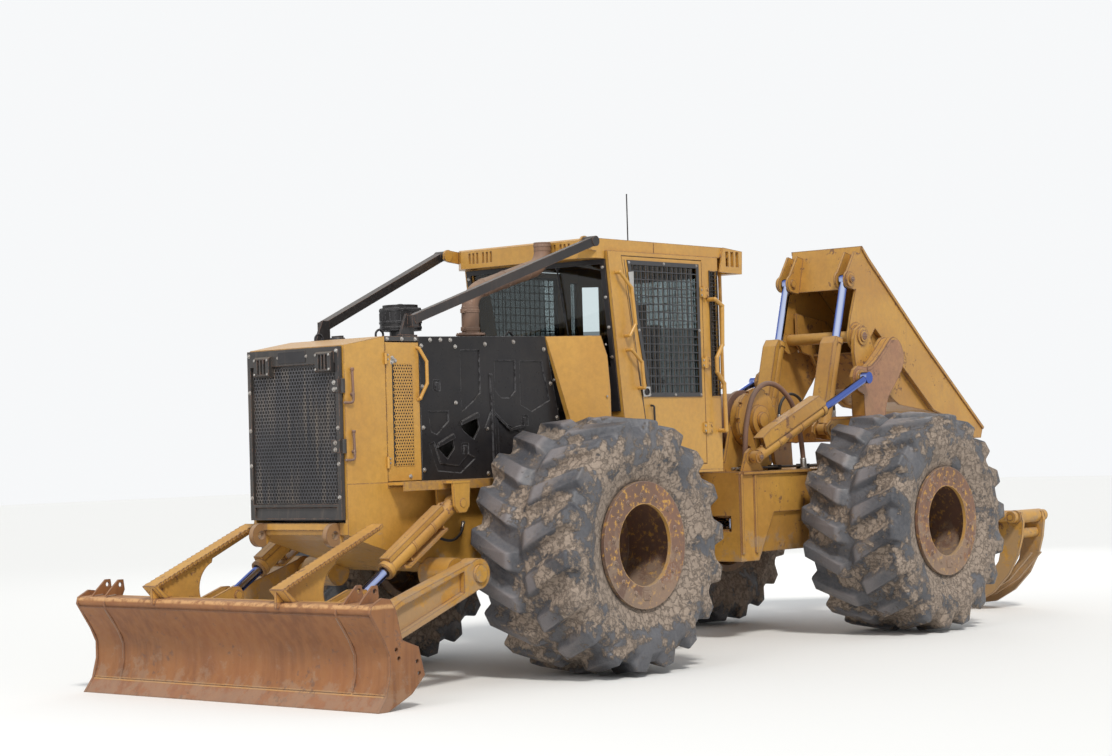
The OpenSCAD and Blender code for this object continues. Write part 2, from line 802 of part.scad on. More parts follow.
module blade() {
    color(rust) {
        side_plate(concat(blade_face, blade_back), -blade_half, blade_half);
        // rolled top edge and the sheet behind it
        pin_y(2532, 625, 34, -blade_half, blade_half);
        side_plate([[2532, 659], [2420, 665], [2420, 640], [2532, 630]],
            -blade_half, blade_half);
        // cutting edge plate
        side_plate([[2522, 0], [2447, 97], [2437, 90], [2508, 0]], -blade_half + 22, blade_half - 22);
        both_sides() {
            // end plate
            difference() {
                side_plate([[2525, 0], [2450, 95], [2412, 230], [2412, 340], [2455, 430],
                    [2572, 610], [2560, 655], [2470, 700], [2400, 690], [2350, 620],
                    [2320, 500], [2300, 430], [2160, 380], [2110, 200], [2230, 90], [2440, 0]],
                    blade_half - 20, blade_half);
                for (p = [[2355, 375], [2335, 320], [2175, 290], [2160, 215]]) {
                    pin_y(p[0], p[1], 14, blade_half - 30, blade_half + 10);
                }
            }
        }
        for (y = blade_ribs) {
            side_plate([[2522, 0], [2447, 95], [2409, 230], [2409, 340], [2452, 430],
                [2569, 600], [2570, 625], [2545, 664], [2525, 664], [2440, 640], [2390, 340],
                [2400, 200], [2480, 0]], y, y + 18);
        }
        // pairs of ears at the ends of the top edge
        for (s = [-1, 1]) {
            for (y = [1160, 1300]) {
                difference() {
                    side_plate([[2420, 600], [2560, 640], [2500, 700], [2420, 770], [2380, 770],
                        [2370, 700]], s > 0 ? y : -y - 16, s > 0 ? y + 16 : -y);
                    pin_y(2405, 735, 16, s > 0 ? y - 5 : -y - 21, s > 0 ? y + 21 : -y + 5);
                }
            }
        }
        // stiffening box on the back
        side_plate([[2375, 160], [2375, 420], [2240, 400], [2240, 180]], -1200, 1200);
    }
    color(yellow) {
        both_sides() {
            // ears of the lift cylinders
            for (y = [lift_y - 65, lift_y + 40]) {
                side_plate([[2400, 640], [2400, 250], [2300, 250], [1830, 590], [1820, 650],
                    [1860, 700], [1920, 700], [2150, 620]], y, y + 25);
            }
            pin_y(lift_eye[0], lift_eye[1], 32, lift_y - 78, lift_y - 40);
            pin_y(lift_eye[0], lift_eye[1], 32, lift_y + 40, lift_y + 78);
            // brush rack: cheek with its rounded back, top strip with teeth, front cheek
            difference() {
                side_plate([[2590, 740], [1695, 1112], [1660, 1095], [1660, 1075], [2060, 900],
                    [2120, 620], [2590, 620]], 600, 618);
                pin_y(1990, 700, 190, 590, 630);
            }
            rack_strip();
            side_plate([[2600, 742], [2582, 750], [2440, 640], [2450, 620], [2480, 620]], 560, 690);
        }
    }
}

// top strip of a brush rack with saw teeth along both edges
module rack_strip() {
    p = [1690, 1120];
    q = [2595, 747];
    l = span(p, q);
    n = 22;
    step = (l - 40) / n;
    teeth = [for (k = [0:n - 1]) each [[20 + k * step, 52], [20 + (k + 0.75) * step, 66]]];
    edge = concat([[0, 52]], teeth, [[l, 52]]);
    back = [for (k = [len(edge) - 1:-1:0]) [edge[k][0], -edge[k][1]]];
    translate([p[0], 625, p[1]]) rotate([0, -slope(p, q), 0])
        flat_plate(concat(edge, back), -22, 0);
}

module push_arms() {
    color(yellow) {
        both_sides() {
            difference() {
                union() {
                    side_plate([[2240, 398], [2240, 212], [blade_pivot_x - 5, 655],
                        [blade_pivot_x - 5, 860], [1770, 630]], arm_y - arm_w / 2, arm_y + arm_w / 2);
                    pin_y(blade_pivot_x, blade_pivot_z, 104, arm_y - arm_w / 2, arm_y + arm_w / 2);
                }
                pin_y(blade_pivot_x, blade_pivot_z, arm_pin_r + pin_gap, 700, 1000);
                side_plate([[2215, 370], [2215, 255], [1180, 640], [1180, 780], [1770, 590]],
                    arm_y + arm_w / 2 - 40, arm_y + arm_w / 2 + 10);
            }
            box(2050, 2120, arm_y + 18, arm_y + 45, 350, 420);
        }
    }
}

module blade_cylinder_barrels() {
    color(yellow) {
        for (s = [-1, 1]) {
            aim(lift_base, lift_eye, s * lift_y) {
                tube_part(800, 55, 37, 55, 70, 30);
                box(140, 760, -45, 45, 40, 78);
                side_plate([[180, -96], [180, -80], [620, -80], [650, -50], [668, -50],
                    [668, -70], [628, -96]], -45, 45);
                box(190, 205, -30, 30, -90, -40);
                box(560, 575, -30, 30, -90, -40);
            }
        }
    }
}

module blade_cylinder_rods() {
    color(chrome) {
        l = span(lift_base, lift_eye);
        for (s = [-1, 1]) {
            aim(lift_base, lift_eye, s * lift_y) rod_part(300, l, 36, 50, 66);
        }
    }
}

// Rear body

module rear_frame() {
    color(yellow) {
        difference() {
            union() {
                both_sides() {
                    side_plate([[-2400, rear_top], [-2400, 640], [-2640, 640], [-2860, 1018],
                        [-3600, 1040], [-4200, 1040], [-4420, 1018], [-4780, 1018],
                        [-4860, 1120], [-4860, rear_top]], rear_half - 25, rear_half);
                    // steering cylinder brackets
                    for (z = [steer_z - 75, steer_z + 45]) {
                        box(steer_eye[0] - 5, -2420, 300, 420, z, z + 30);
                    }
                    // arch cylinder brackets with their bosses
                    side_plate([[-2480, rear_top - 10], [-2780, rear_top - 10], [-2665, 1500],
                        [-2600, 1535], [-2545, 1500]], 500, 525);
                    box(-2780, -2480, 500, 550, rear_top - 20, rear_top);
                    pin_y(arch_base[0], arch_base[1], 30, 505, 632);
                    pin_y(arch_base[0], arch_base[1], 62, 505, 528);
                    // lip along the top and stiffeners on the side
                    box(-4200, -2440, rear_half - 10, rear_half + 22, rear_top - 22, rear_top);
                    box(-2620, -2590, rear_half - 5, rear_half + 12, 700, rear_top - 15);
                    box(-2440, -2410, rear_half - 5, rear_half + 12, 700, rear_top - 15);
                    box(rear_x - 140, rear_x + 140, 290, rear_half - 5, 1040, 1070);
                    // bearing of the arch pivot
                    pin_y(arch_pivot[0], arch_pivot[1], 105, rear_half - 25, rear_half + 15);
                }
                box(-4220, -2400, -rear_half, rear_half, rear_top - 25, rear_top);
                box(-3560, -2640, -rear_half, rear_half, 1018, 1040);
                difference() {
                    cross_plate([[-535, 1030], [-460, 700], [460, 700], [535, 1030]], -3420, -2610);
                    cross_plate([[-510, 1014], [-441, 720], [441, 720], [510, 1014]], -3400, -2590);
                }
                box(-2425, -2400, -rear_half, rear_half, 640, rear_top);
                box(-4860, -4835, -rear_half, rear_half, 1100, rear_top);
                box(-4640, -4330, -rear_half, rear_half, 1018, 1040);
                // nose with the centre joint tongues
                box(-2410, -2230, -130, 130, 645, 1280);
                for (z = [645, 1210]) {
                    box(-2300, joint_x, -120, 120, z, z + 70);
                    pin_z(joint_x, 0, 120, z, z + 70);
                }
                // drawbar plate with its pin hole
                box(-4935, -4620, -110, 110, drawbar[1], drawbar[1] + 45);
                box(-4850, -4630, -110, 110, 1018, drawbar[1] + 5);
                pin_z(drawbar[0], 0, 110, drawbar[1], drawbar[1] + 45);
                pin_y(arch_pivot[0], arch_pivot[1], arch_pin_r, -rear_half, rear_half);
            }
            pin_z(joint_x, 0, joint_pin_r + pin_gap, 500, 1400);
            pin_z(drawbar[0], 0, 30, 900, 1200);
            both_sides() {
                box(-2430, -2395, 240, 460, steer_z - 60, steer_z + 60);
            }
        }
        both_sides() {
            for (z = [steer_z - 85, steer_z + 45]) {
                pin_z(steer_eye[0], steer_eye[1], 60, z + (z < steer_z ? 10 : 0),
                    z + (z < steer_z ? 40 : 30));
                pin_z(steer_eye[0], steer_eye[1], 28, z, z + 40);
            }
        }
    }
}

module winch_mount() {
    color(yellow) {
        difference() {
            union() {
                both_sides() {
                    side_plate([[winch[0] - 330, rear_top], [winch[0] + 330, rear_top],
                        [winch[0] + 200, winch[1]], [winch[0] + 120, winch[1] + 170],
                        [winch[0] - 120, winch[1] + 170], [winch[0] - 200, winch[1]]], 260, 285);
                }
                box(winch[0] - 330, winch[0] - 310, -285, 285, rear_top, rear_top + 80);
                box(winch[0] + 310, winch[0] + 330, -285, 285, rear_top, rear_top + 80);
                pin_y(winch[0], winch[1], 262, 370, 400);
                pin_y(winch[0], winch[1], 215, 280, 380);
                pin_y(winch[0], winch[1], 120, 390, 440);
                pin_y(winch[0], winch[1], 62, 430, 468);
                pin_y(winch[0], winch[1], 160, -420, -280);
            }
            pin_y(winch[0], winch[1], 41, -330, 330);
            for (a = [0:30:330]) {
                translate([winch[0], 385, winch[1]]) rotate([0, -a, 0])
                    box(244, 280, -30, 30, -17, 17);
            }
        }
    }
}

module winch_drum() {
    color(black) {
        pin_y(winch[0], winch[1], 40, -325, 325);
        pin_y(winch[0], winch[1], 205, -235, 235);
        both_sides() {
            pin_y(winch[0], winch[1], 248, 222, 250);
        }
    }
}

module steering_barrel(s) {
    translate([steer_base[0], s * steer_base[1], steer_z])
        rotate([0, 0, s * slope(steer_base, steer_eye)]) rotate([90, 0, 0])
        tube_part(580, 44, 27, 50, 78, 28);
}

module steering_rod(s) {
    l = span(steer_base, steer_eye);
    translate([steer_base[0], s * steer_base[1], steer_z])
        rotate([0, 0, s * slope(steer_base, steer_eye)]) rotate([90, 0, 0])
        rod_part(320, l, 26, 46, 76);
}

module left_steering_barrel() {
    color(yellow) steering_barrel(1);
}

module right_steering_barrel() {
    color(yellow) steering_barrel(-1);
}

module left_steering_rod() {
    color(chrome) steering_rod(1);
}

module right_steering_rod() {
    color(chrome) steering_rod(-1);
}

// Wheels

module wheel_place(x, s) {
    translate([x, s * tyre_y, axle_z]) rotate([-90 * s, 0, 0]) children();
}

// outline of the rim, radius and distance outward from the tyre's middle
module rim_body() {
    h = rim_w / 2;
    rotate_extrude($fn = 96) polygon([[rim_hole_r, h], [rim_r + 30, h], [rim_r + 30, h - 30],
        [rim_r, h - 50], [rim_r, 50 - h], [rim_r + 30, 30 - h], [rim_r + 30, -h],
        [rim_r - 25, -h], [rim_r - 25, -85], [170, -85], [170, -135],
        [spindle_r + pin_gap, -135], [spindle_r + pin_gap, -40], [0, -40], [0, 20], [150, 20],
        [190, -10], [190, -55], [rim_r - 25, -55], [rim_r - 25, h - 30], [rim_hole_r, h - 30]]);
}

// columns of one pitch of the tread, as parts of the pitch
lug_columns = [0, 0.15, 0.5, 0.65];

// rings from bead to crown for half a tyre: columns a pitch, radius and place on a lug,
// radius and place between lugs, lead in pitches
function tyre_rings(h, b) = [
    [2, rim_r + 2, b, rim_r + 2, b, 0.3],
    [2, rim_r + 75, b + 38, rim_r + 75, b + 38, 0.3],
    [2, 640, h, 640, h, 0.4],
    [4, tyre_r - 148, h - 4, tyre_r - 155, h - 14, 0.5],
    [4, tyre_r - 32, h - 22, tyre_r - lug_h - 24, h - 70, 0.66],
    [4, tyre_r, 85, tyre_r - lug_h, 85, 0.1],
    [4, tyre_r - lug_h, 0, tyre_r - lug_h, 0, 0]];

// triangles between ring a of na points and ring b of nb points
function band(a0, na, b0, nb) = [for (i = [0:min(na, nb) - 1])
    let (j = (i + 1) % min(na, nb))
    each (na == nb ? [[a0 + i, b0 + i, a0 + j], [a0 + j, b0 + i, b0 + j]]
        : na < nb ? [[a0 + i, b0 + 2 * i, b0 + 2 * i + 1],
            [a0 + i, b0 + 2 * i + 1, a0 + j], [a0 + j, b0 + 2 * i + 1, b0 + 2 * j]]
        : [[b0 + i, a0 + 2 * i + 1, a0 + 2 * i],
            [b0 + j, a0 + 2 * i + 1, b0 + i], [a0 + 2 * j, a0 + 2 * i + 1, b0 + j]])];

// tyre with two staggered rows of lugs, leaning so that they rise towards the shoulders
module tyre_body(lean) {
    half = tyre_rings(tyre_w / 2, rim_w / 2 - 52);
    m = len(half);
    count = 2 * m - 1;
    ring = [for (k = [0:count - 1]) k < m ? half[k] : half[count - 1 - k]];
    side = [for (k = [0:count - 1]) k < m ? -1 : 1];
    n = [for (r = ring) lug_count * r[0]];
    start = [for (k = 0, t = 0; k <= count; t = t + (k < count ? n[k] : 0), k = k + 1) t];
    points = [for (k = [0:count - 1]) for (i = [0:n[k] - 1])
        let (f = (i % ring[k][0]) * 4 / ring[k][0],
            on = side[k] < 0 ? (f == 1 || f == 2) : (f == 3 || f == 0),
            lead = lug_columns[f] + lean * ring[k][5],
            a = 360 / lug_count * (floor(i / ring[k][0]) + lead),
            r = on ? ring[k][1] : ring[k][3],
            z = side[k] * (on ? ring[k][2] : ring[k][4]))
        [r * cos(a), r * sin(a), z]];
    faces = [for (k = [0:count - 1])
        let (q = (k + 1) % count) each band(start[k], n[k], start[q], n[q])];
    polyhedron(points, faces);
}

module front_left_rim() {
    color(rust) wheel_place(0, 1) rim_body();
}

module front_right_rim() {
    color(rust) wheel_place(0, -1) rim_body();
}

module rear_left_rim() {
    color(rust) wheel_place(rear_x, 1) rim_body();
}

module rear_right_rim() {
    color(rust) wheel_place(rear_x, -1) rim_body();
}

module front_left_tyre() {
    color(rubber) wheel_place(0, 1) tyre_body(-1);
}

module front_right_tyre() {
    color(rubber) wheel_place(0, -1) tyre_body(1);
}

module rear_left_tyre() {
    color(rubber) wheel_place(rear_x, 1) tyre_body(-1);
}

module rear_right_tyre() {
    color(rubber) wheel_place(rear_x, -1) tyre_body(1);
}

// Arch and boom

arch_side = [[-4400, 1200], [-4320, 1420], [-4285, 1600], [-4270, 1800], [-4262, 1960],
    [-4180, 1990], [-4115, 2040], [-4098, 2110], [-4125, 2170], [-4190, 2205],
    [-4290, 2195], [-4378, 2207], [-4470, 2262], [-4594, 2357], [-4650, 2410],
    [-4700, 2450], [-4750, 2462], [-4810, 2442], [-4870, 2390], [-4897, 2320],
    [-4900, 2250], [-4860, 2170], [-4790, 2090], [-4724, 2027], [-4640, 1940],
    [-4590, 1840], [-4570, 1700], [-4580, 1500], [-4590, 1350], [-4590, 1180],
    [-4540, 1140], [-4450, 1140]];
arch_inner = [[-4285, 1600], [-4270, 1800], [-4262, 1960], [-4275, 2100], [-4300, 2195],
    [-4275, 2320], [-4280, 2440], [-4315, 2520], [-4400, 2565], [-4475, 2540],
    [-4520, 2470], [-4560, 2400], [-4594, 2357], [-4650, 2410], [-4700, 2450],
    [-4750, 2462], [-4810, 2442], [-4870, 2390], [-4897, 2320], [-4900, 2250],
    [-4860, 2170], [-4790, 2090], [-4724, 2027], [-4640, 1940], [-4590, 1840], [-4570, 1700],
    [-4575, 1600]];

module arch() {
    inner = boom_half + 25;
    color(yellow) {
        difference() {
            union() {
                both_sides() {
                    side_plate(arch_side, arch_half - arch_t, arch_half);
                    side_plate(arch_inner, inner, inner + arch_t);
                    // flanges along the front, the hollow and the back of the arm
                    side_plate([[-4285, 1600], [-4270, 1800], [-4262, 1960], [-4275, 2100],
                        [-4300, 2195], [-4325, 2190], [-4300, 2098], [-4288, 1965],
                        [-4296, 1800], [-4310, 1600]], inner + 10, arch_half - 10);
                    side_plate([[-4320, 2188], [-4378, 2200], [-4470, 2255], [-4594, 2350],
                        [-4650, 2403], [-4700, 2443], [-4750, 2455], [-4750, 2430],
                        [-4708, 2420], [-4664, 2382], [-4608, 2328], [-4482, 2232],
                        [-4385, 2175], [-4320, 2165]], inner + 10, arch_half + 6);
                    side_plate([[-4893, 2320], [-4896, 2250], [-4856, 2170], [-4786, 2090],
                        [-4720, 2027], [-4636, 1940], [-4586, 1840], [-4566, 1700],
                        [-4540, 1700], [-4562, 1832], [-4616, 1928], [-4702, 2010],
                        [-4768, 2073], [-4836, 2155], [-4872, 2250], [-4870, 2318]],
                        inner + 10, arch_half - 10);
                    // feet of the boom cylinders
                    for (y = [boom_cyl_y - 82, boom_cyl_y + 60]) {
                        side_plate([[-4300, 1760], [-3960, 1750], [-3890, 1700], [-3885, 1650],
                            [-3940, 1600], [-4300, 1560]], y, y + 22);
                    }
                    pin_y(boom_base[0], boom_base[1], 32, boom_cyl_y - 90, boom_cyl_y + 90);
                    pin_y(arch_eye[0], arch_eye[1], 72, arch_half - 10, arch_half + 26);
                    pin_y(arch_pivot[0], arch_pivot[1], 95, arch_half - 10, rear_half - 30);
                    pin_y(boom_pivot[0], boom_pivot[1], 78, inner + 25, inner + arch_t + 14);
                }
                // cross beam and boom pin
                box(-4380, -4230, -arch_half + 5, arch_half - 5, 1565, 1780);
                pin_y(boom_pivot[0], boom_pivot[1], arch_pin_r, -inner - arch_t - 26,
                    inner + arch_t + 26);
            }
            pin_y(arch_pivot[0], arch_pivot[1], arch_pin_r + pin_gap, -600, 600);
        }
    }
}

module arch_cylinder_barrels() {
    color(yellow) {
        for (s = [-1, 1]) {
            aim(arch_base, arch_eye, s * arch_cyl_y) {
                tube_part(1010, 48, 33, 50, 66, 30);
                // box guard over the barrel
                difference() {
                    side_plate([[86, -40], [86, -132], [220, -156], [948, -146], [1022, -62],
                        [1005, -40]], -50, 50);
                    side_plate([[60, -30], [60, -122], [222, -148], [944, -138], [1012, -56],
                        [1012, -30]], -44, 44);
                }
                box(150, 166, -45, 45, -138, -40);
                box(900, 916, -45, 45, -140, -40);
            }
        }
    }
}

module arch_cylinder_rods() {
    color(chrome) {
        l = span(arch_base, arch_eye);
        for (s = [-1, 1]) {
            aim(arch_base, arch_eye, s * arch_cyl_y) rod_part(470, l, 32, 50, 66);
        }
    }
}

boom_side = [[-4517, 3251], [-4424, 2880], [-4330, 2640], [-4290, 2500], [-4300, 2400],
    [-4370, 2345], [-4450, 2350], [-4560, 2400], [-4700, 2540], [-5023, 2282], [-5305, 2064],
    [-5607, 1824], [-5760, 1779], [-6300, 1560], [-6400, 1560], [-6440, 1660],
    [-5500, 2405], [-4620, 3150]];
boom_web = [[-4440, 2700], [-4440, 2420], [-4500, 2360], [-4640, 2330], [-4700, 2240],
    [-4780, 2140], [-4900, 2020], [-5020, 1930], [-5135, 1872], [-5700, 1803],
    [-5900, 1750], [-5500, 2150], [-4900, 2640]];

module boom() {
    color(yellow) {
        difference() {
            union() {
                both_sides() {
                    side_plate(boom_side, boom_half - boom_t, boom_half);
                    // pivot bosses
                    pin_y(boom_pivot[0], boom_pivot[1], 95, boom_half - boom_t,
                        boom_half + 20);
                    // web set back below the diagonal beam
                    side_plate(boom_web, boom_half - 75, boom_half - 53);
                    side_plate([[-4555, 2410], [-4698, 2551], [-5023, 2293], [-5305, 2075],
                        [-5607, 1835], [-5625, 1850], [-5318, 2092], [-5036, 2311],
                        [-4694, 2580], [-4540, 2428]], boom_half - 70, boom_half - 8);
                    // lugs at the tip
                    side_plate([[-6000, 1830], [-6440, 1680], [-6440, 1590], [-6380, 1560],
                        [-6280, 1560], [-6000, 1700]], 88, 118);
                    // lugs of the boom cylinders
                    for (y = [boom_cyl_y - 60, boom_half - boom_t]) {
                        side_plate([[-4505, 3180], [-4440, 2880], [-4400, 2870], [-4290, 2888],
                            [-4262, 2950], [-4290, 3010], [-4420, 3200]], y, y + 22);
                        pin_y(boom_eye[0], boom_eye[1], 74, y, y + 22);
                    }
                    // round cheek over the boom pivot
                    pin_y(boom_pivot[0], boom_pivot[1], 120, boom_half - boom_t, boom_half + 8);
                }
                // front plate, back plate and belly plate
                side_plate([[-4517, 3251], [-4424, 2880], [-4446, 2880], [-4539, 3240]],
                    -boom_half, boom_half);
                side_plate([[-4517, 3251], [-4620, 3150], [-5500, 2405], [-6440, 1660],
                    [-6425, 1640], [-5490, 2380], [-4612, 3122], [-4520, 3220]],
                    -boom_half - 14, boom_half + 14);
                side_plate([[-4680, 2325], [-4920, 2030], [-5150, 1900], [-5690, 1825], [-5690, 1850],
                    [-5150, 1925], [-4935, 2048], [-4695, 2345]], -boom_half + 60, boom_half - 60);
                side_plate([[-5600, 1845], [-5700, 1830], [-6296, 1587], [-6296, 1612],
                    [-5700, 1858], [-5600, 1875]], -boom_half + 6, boom_half - 6);
                box(-6100, -6080, -boom_half, boom_half, 1680, 1900);
            }
            pin_y(boom_pivot[0], boom_pivot[1], arch_pin_r + pin_gap, -600, 600);
            box(-6500, -6190, -88, 88, 1400, 1900);
        }
        both_sides() {
            pin_y(boom_eye[0], boom_eye[1], 34, boom_cyl_y - 76, boom_cyl_y - 38);
            pin_y(boom_eye[0], boom_eye[1], 64, boom_half - boom_t, boom_half + 16);
            pin_y(boom_eye[0], boom_eye[1], 34, boom_half - boom_t, boom_half + 30);
        }
        pin_y(tip[0], tip[1], 35, -125, 125);
    }
}

module boom_cylinder_barrels() {
    color(yellow) {
        for (s = [-1, 1]) {
            aim(boom_base, boom_eye, s * boom_cyl_y) {
                tube_part(800, 55, 37, 55, 76, 32);
                difference() {
                    side_plate([[160, -70], [160, -125], [720, -125], [790, -95], [790, -70]], -70, 70);
                    side_plate([[150, -60], [150, -118], [715, -118], [770, -90], [770, -60]], -62, 62);
                }
                box(160, 180, -62, 62, -75, -40);
                box(740, 760, -62, 62, -75, -40);
            }
        }
    }
}

module boom_cylinder_rods() {
    color(chrome) {
        l = span(boom_base, boom_eye);
        for (s = [-1, 1]) {
            aim(boom_base, boom_eye, s * boom_cyl_y) rod_part(430, l, 36, 46, 54);
        }
    }
}

// Grapple

module grapple_link() {
    color(yellow) {
        difference() {
            union() {
                pin_y(tip[0], tip[1], 75, -80, 80);
                box(tip[0] - 50, tip[0] + 50, -80, 80, swing_z, tip[1]);
                pin_x(0, swing_z, 80, tip[0] - 50, tip[0] + 50);
            }
            pin_y(tip[0], tip[1], 35 + pin_gap, -100, 100);
            pin_x(0, swing_z, 35 + pin_gap, tip[0] - 100, tip[0] + 100);
        }
    }
}

module grapple_yoke() {
    color(yellow) {
        pin_x(0, swing_z, 35, tip[0] - 100, tip[0] + 100);
        for (s = [-1, 1]) {
            translate([tip[0] + s * 72, 0, 0]) {
                pin_x(0, swing_z, 80, -15, 15);
                box(-15, 15, -80, 80, 1250, swing_z);
            }
        }
        translate([tip[0], 0, 0]) {
            pin_z(0, 0, 160, 1225, 1255);
            pin_z(0, 0, 125, 1120, 1230);
            pin_z(0, 0, 50, 1000, 1130);
        }
    }
}

module grapple_head() {
    color(yellow) {
        translate([tip[0], 0, 0]) {
            difference() {
                union() {
                    pin_z(0, 0, 170, 1080, 1115);
                    box(-155, 155, -430, 430, 800, 1085);
                    for (x = [-155, 130]) {
                        cross_plate([[-400, 1075], [-430, 1030], [-445, 930], [-500, 862],
                            [-600, 866], [-635, 660], [-430, 770], [-200, 740], [200, 740],
                            [430, 770], [635, 660], [600, 866], [500, 862], [445, 930],
                            [430, 1030], [400, 1075]], x, x + 25);
                        pin_x(-tong_y, tong_z, 106, x, x + 25);
                        pin_x(tong_y, tong_z, 106, x, x + 25);
                    }
                    for (s = [-1, 1]) {
                        pin_x(s * tong_y, tong_z, tong_pin_r, -215, 215);
                    }
                }
                pin_z(0, 0, 50 + pin_gap, 990, 1200);
            }
        }
    }
}

// left tong in front view; the right one is its mirror image
tong_shape = [[905, 880], [925, 800], [905, 650], [860, 500], [760, 320], [600, 160],
    [400, 50], [150, 22], [-150, 40], [-450, 120], [-700, 265], [-935, 505], [-932, 515],
    [-690, 335], [-430, 215], [-130, 140], [150, 128], [370, 165], [540, 280], [660, 440],
    [700, 600], [640, 665], [560, 700], [540, 770], [570, 830], [640, 860], [790, 880],
    [850, 900]];

module tong_plate(x0, x1) {
    cross_plate(tong_shape, x0, x1);
}

module left_tong() {
    color(yellow) {
        translate([tip[0], 0, 0]) {
            difference() {
                union() {
                    for (s = [-1, 1]) {
                        translate([s * 182, 0, 0]) tong_plate(-tong_t / 2, tong_t / 2);
                    }
                    pin_x(830, 690, 45, -190, 190);
                    pin_x(shoulder[0], shoulder[1], 30, -295, 295);
                    pin_x(shoulder[0], shoulder[1], 60, -215, 215);
                }
                pin_x(tong_y, tong_z, tong_pin_r + pin_gap, -300, 300);
            }
        }
    }
}

module right_tong() {
    color(yellow) {
        translate([tip[0], 0, 0]) mirror([0, 1, 0]) {
            difference() {
                union() {
                    for (s = [-1, 1]) {
                        translate([s * 80, 0, 0]) tong_plate(-tong_t / 2, tong_t / 2);
                    }
                    pin_x(830, 690, 45, -80, 80);
                    pin_x(580, 215, 40, -80, 80);
                    pin_x(shoulder[0], shoulder[1], 60, -225, 225);
                }
                pin_x(tong_y, tong_z, tong_pin_r + pin_gap, -300, 300);
            }
        }
    }
}

// both cylinders lie level between the shoulders, tubes on the left tong
module grapple_barrels() {
    color(yellow) {
        for (s = [-1, 1]) {
            translate([tip[0] + s * grapple_cyl_x, shoulder[0], shoulder[1]])
                rotate([0, 0, -90]) tube_part(900, 42, 26, 52, 56, 30);
        }
    }
}

module grapple_rods() {
    color(chrome) {
        for (s = [-1, 1]) {
            translate([tip[0] + s * grapple_cyl_x, shoulder[0], shoulder[1]])
                rotate([0, 0, -90]) rod_part(790, 2 * shoulder[0], 25, 52, 56);
        }
    }
}

translate([mid_shift, 0, 0]) {
    front_frame();
    front_axle();
    transmission();
    engine_block();
    radiator_core();
    hood();
    engine_panels();
    cowl();
    cab_shell();
    cab_roof();
    cab_glass();
    windscreen_frame();
    cab_interior();
    air_precleaner();
    exhaust_stack();
    limb_risers();
    grab_rails();
    antenna();
    access_step();
    radiator_screen();
    left_service_door();
    right_service_door();
    left_door();
    left_door_glass();
    right_door();
    right_door_glass();
    blade();
    push_arms();
    blade_cylinder_barrels();
    blade_cylinder_rods();
    rear_frame();
    rear_axle();
    winch_mount();
    winch_drum();
    left_steering_barrel();
    left_steering_rod();
    right_steering_barrel();
    right_steering_rod();
    front_left_rim();
    front_left_tyre();
    front_right_rim();
    front_right_tyre();
    rear_left_rim();
    rear_left_tyre();
    rear_right_rim();
    rear_right_tyre();
    arch();
    arch_cylinder_barrels();
    arch_cylinder_rods();
    boom();
    boom_cylinder_barrels();
    boom_cylinder_rods();
    grapple_link();
    grapple_yoke();
    grapple_head();
    left_tong();
    right_tong();
    grapple_barrels();
    grapple_rods();
}
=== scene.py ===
import bpy, bmesh, math, random
from mathutils import Matrix, Vector


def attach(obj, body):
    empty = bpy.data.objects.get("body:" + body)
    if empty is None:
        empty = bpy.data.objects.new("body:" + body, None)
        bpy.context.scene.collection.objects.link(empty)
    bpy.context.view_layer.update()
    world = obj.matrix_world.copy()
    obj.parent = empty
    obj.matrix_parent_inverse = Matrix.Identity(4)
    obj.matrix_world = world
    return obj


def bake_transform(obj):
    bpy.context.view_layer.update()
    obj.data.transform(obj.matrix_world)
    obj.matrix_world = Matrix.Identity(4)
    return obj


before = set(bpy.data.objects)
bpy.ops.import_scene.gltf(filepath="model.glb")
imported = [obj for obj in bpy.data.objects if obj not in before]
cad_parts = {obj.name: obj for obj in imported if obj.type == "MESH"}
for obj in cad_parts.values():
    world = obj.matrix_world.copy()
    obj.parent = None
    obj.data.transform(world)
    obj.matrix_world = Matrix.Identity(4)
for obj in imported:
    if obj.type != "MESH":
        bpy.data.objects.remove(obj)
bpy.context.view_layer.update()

# the part's source counts stations from the front axle, this script from the middle of the machine
axleShift = 2.026
rearAxle = -3.9


def at(x, y, z):
    return Vector((x + axleShift, y, z))


# Camera, lamps and floor

view = {"place": (14.750, 11.831, 1.6045), "yaw": 221.045, "pitch": 1.616, "roll": -1.644,
        "focalPixels": 2376.72, "photoWidth": 1112}
light = {"sky": 0.62, "skyColour": (0.92, 0.96, 1.0), "sun": 2.3, "sunAngle": 9, "sunFrom": (5.0, 7.0, 9.5),
         "sunColour": (1.0, 0.965, 0.91), "fill": 260, "fillSize": 6, "backdrop": (0.93, 0.94, 0.95),
         "fillPlaces": {"fillFront": (12, 2, 5), "fillRear": (-11, -7, 6)}, "fillAim": (0, 0, 1.4),
         "floor": (0.80, 0.80, 0.79), "floorHalf": 60}


def makeCamera():
    data = bpy.data.cameras.new("photoCamera")
    data.lens = view["focalPixels"] * data.sensor_width / view["photoWidth"]
    data.clip_end = 200
    camera = bpy.data.objects.new("photoCamera", data)
    bpy.context.collection.objects.link(camera)
    yaw, pitch, roll = (math.radians(view[k]) for k in ("yaw", "pitch", "roll"))
    ahead = Vector((math.cos(yaw) * math.cos(pitch), math.sin(yaw) * math.cos(pitch), math.sin(pitch)))
    right = ahead.cross(Vector((0, 0, 1))).normalized()
    up = right.cross(ahead)
    rightRolled = right * math.cos(roll) + up * math.sin(roll)
    upRolled = up * math.cos(roll) - right * math.sin(roll)
    turn = Matrix((rightRolled, upRolled, -ahead)).transposed().to_4x4()
    camera.matrix_world = Matrix.Translation(view["place"]) @ turn
    bpy.context.scene.camera = camera


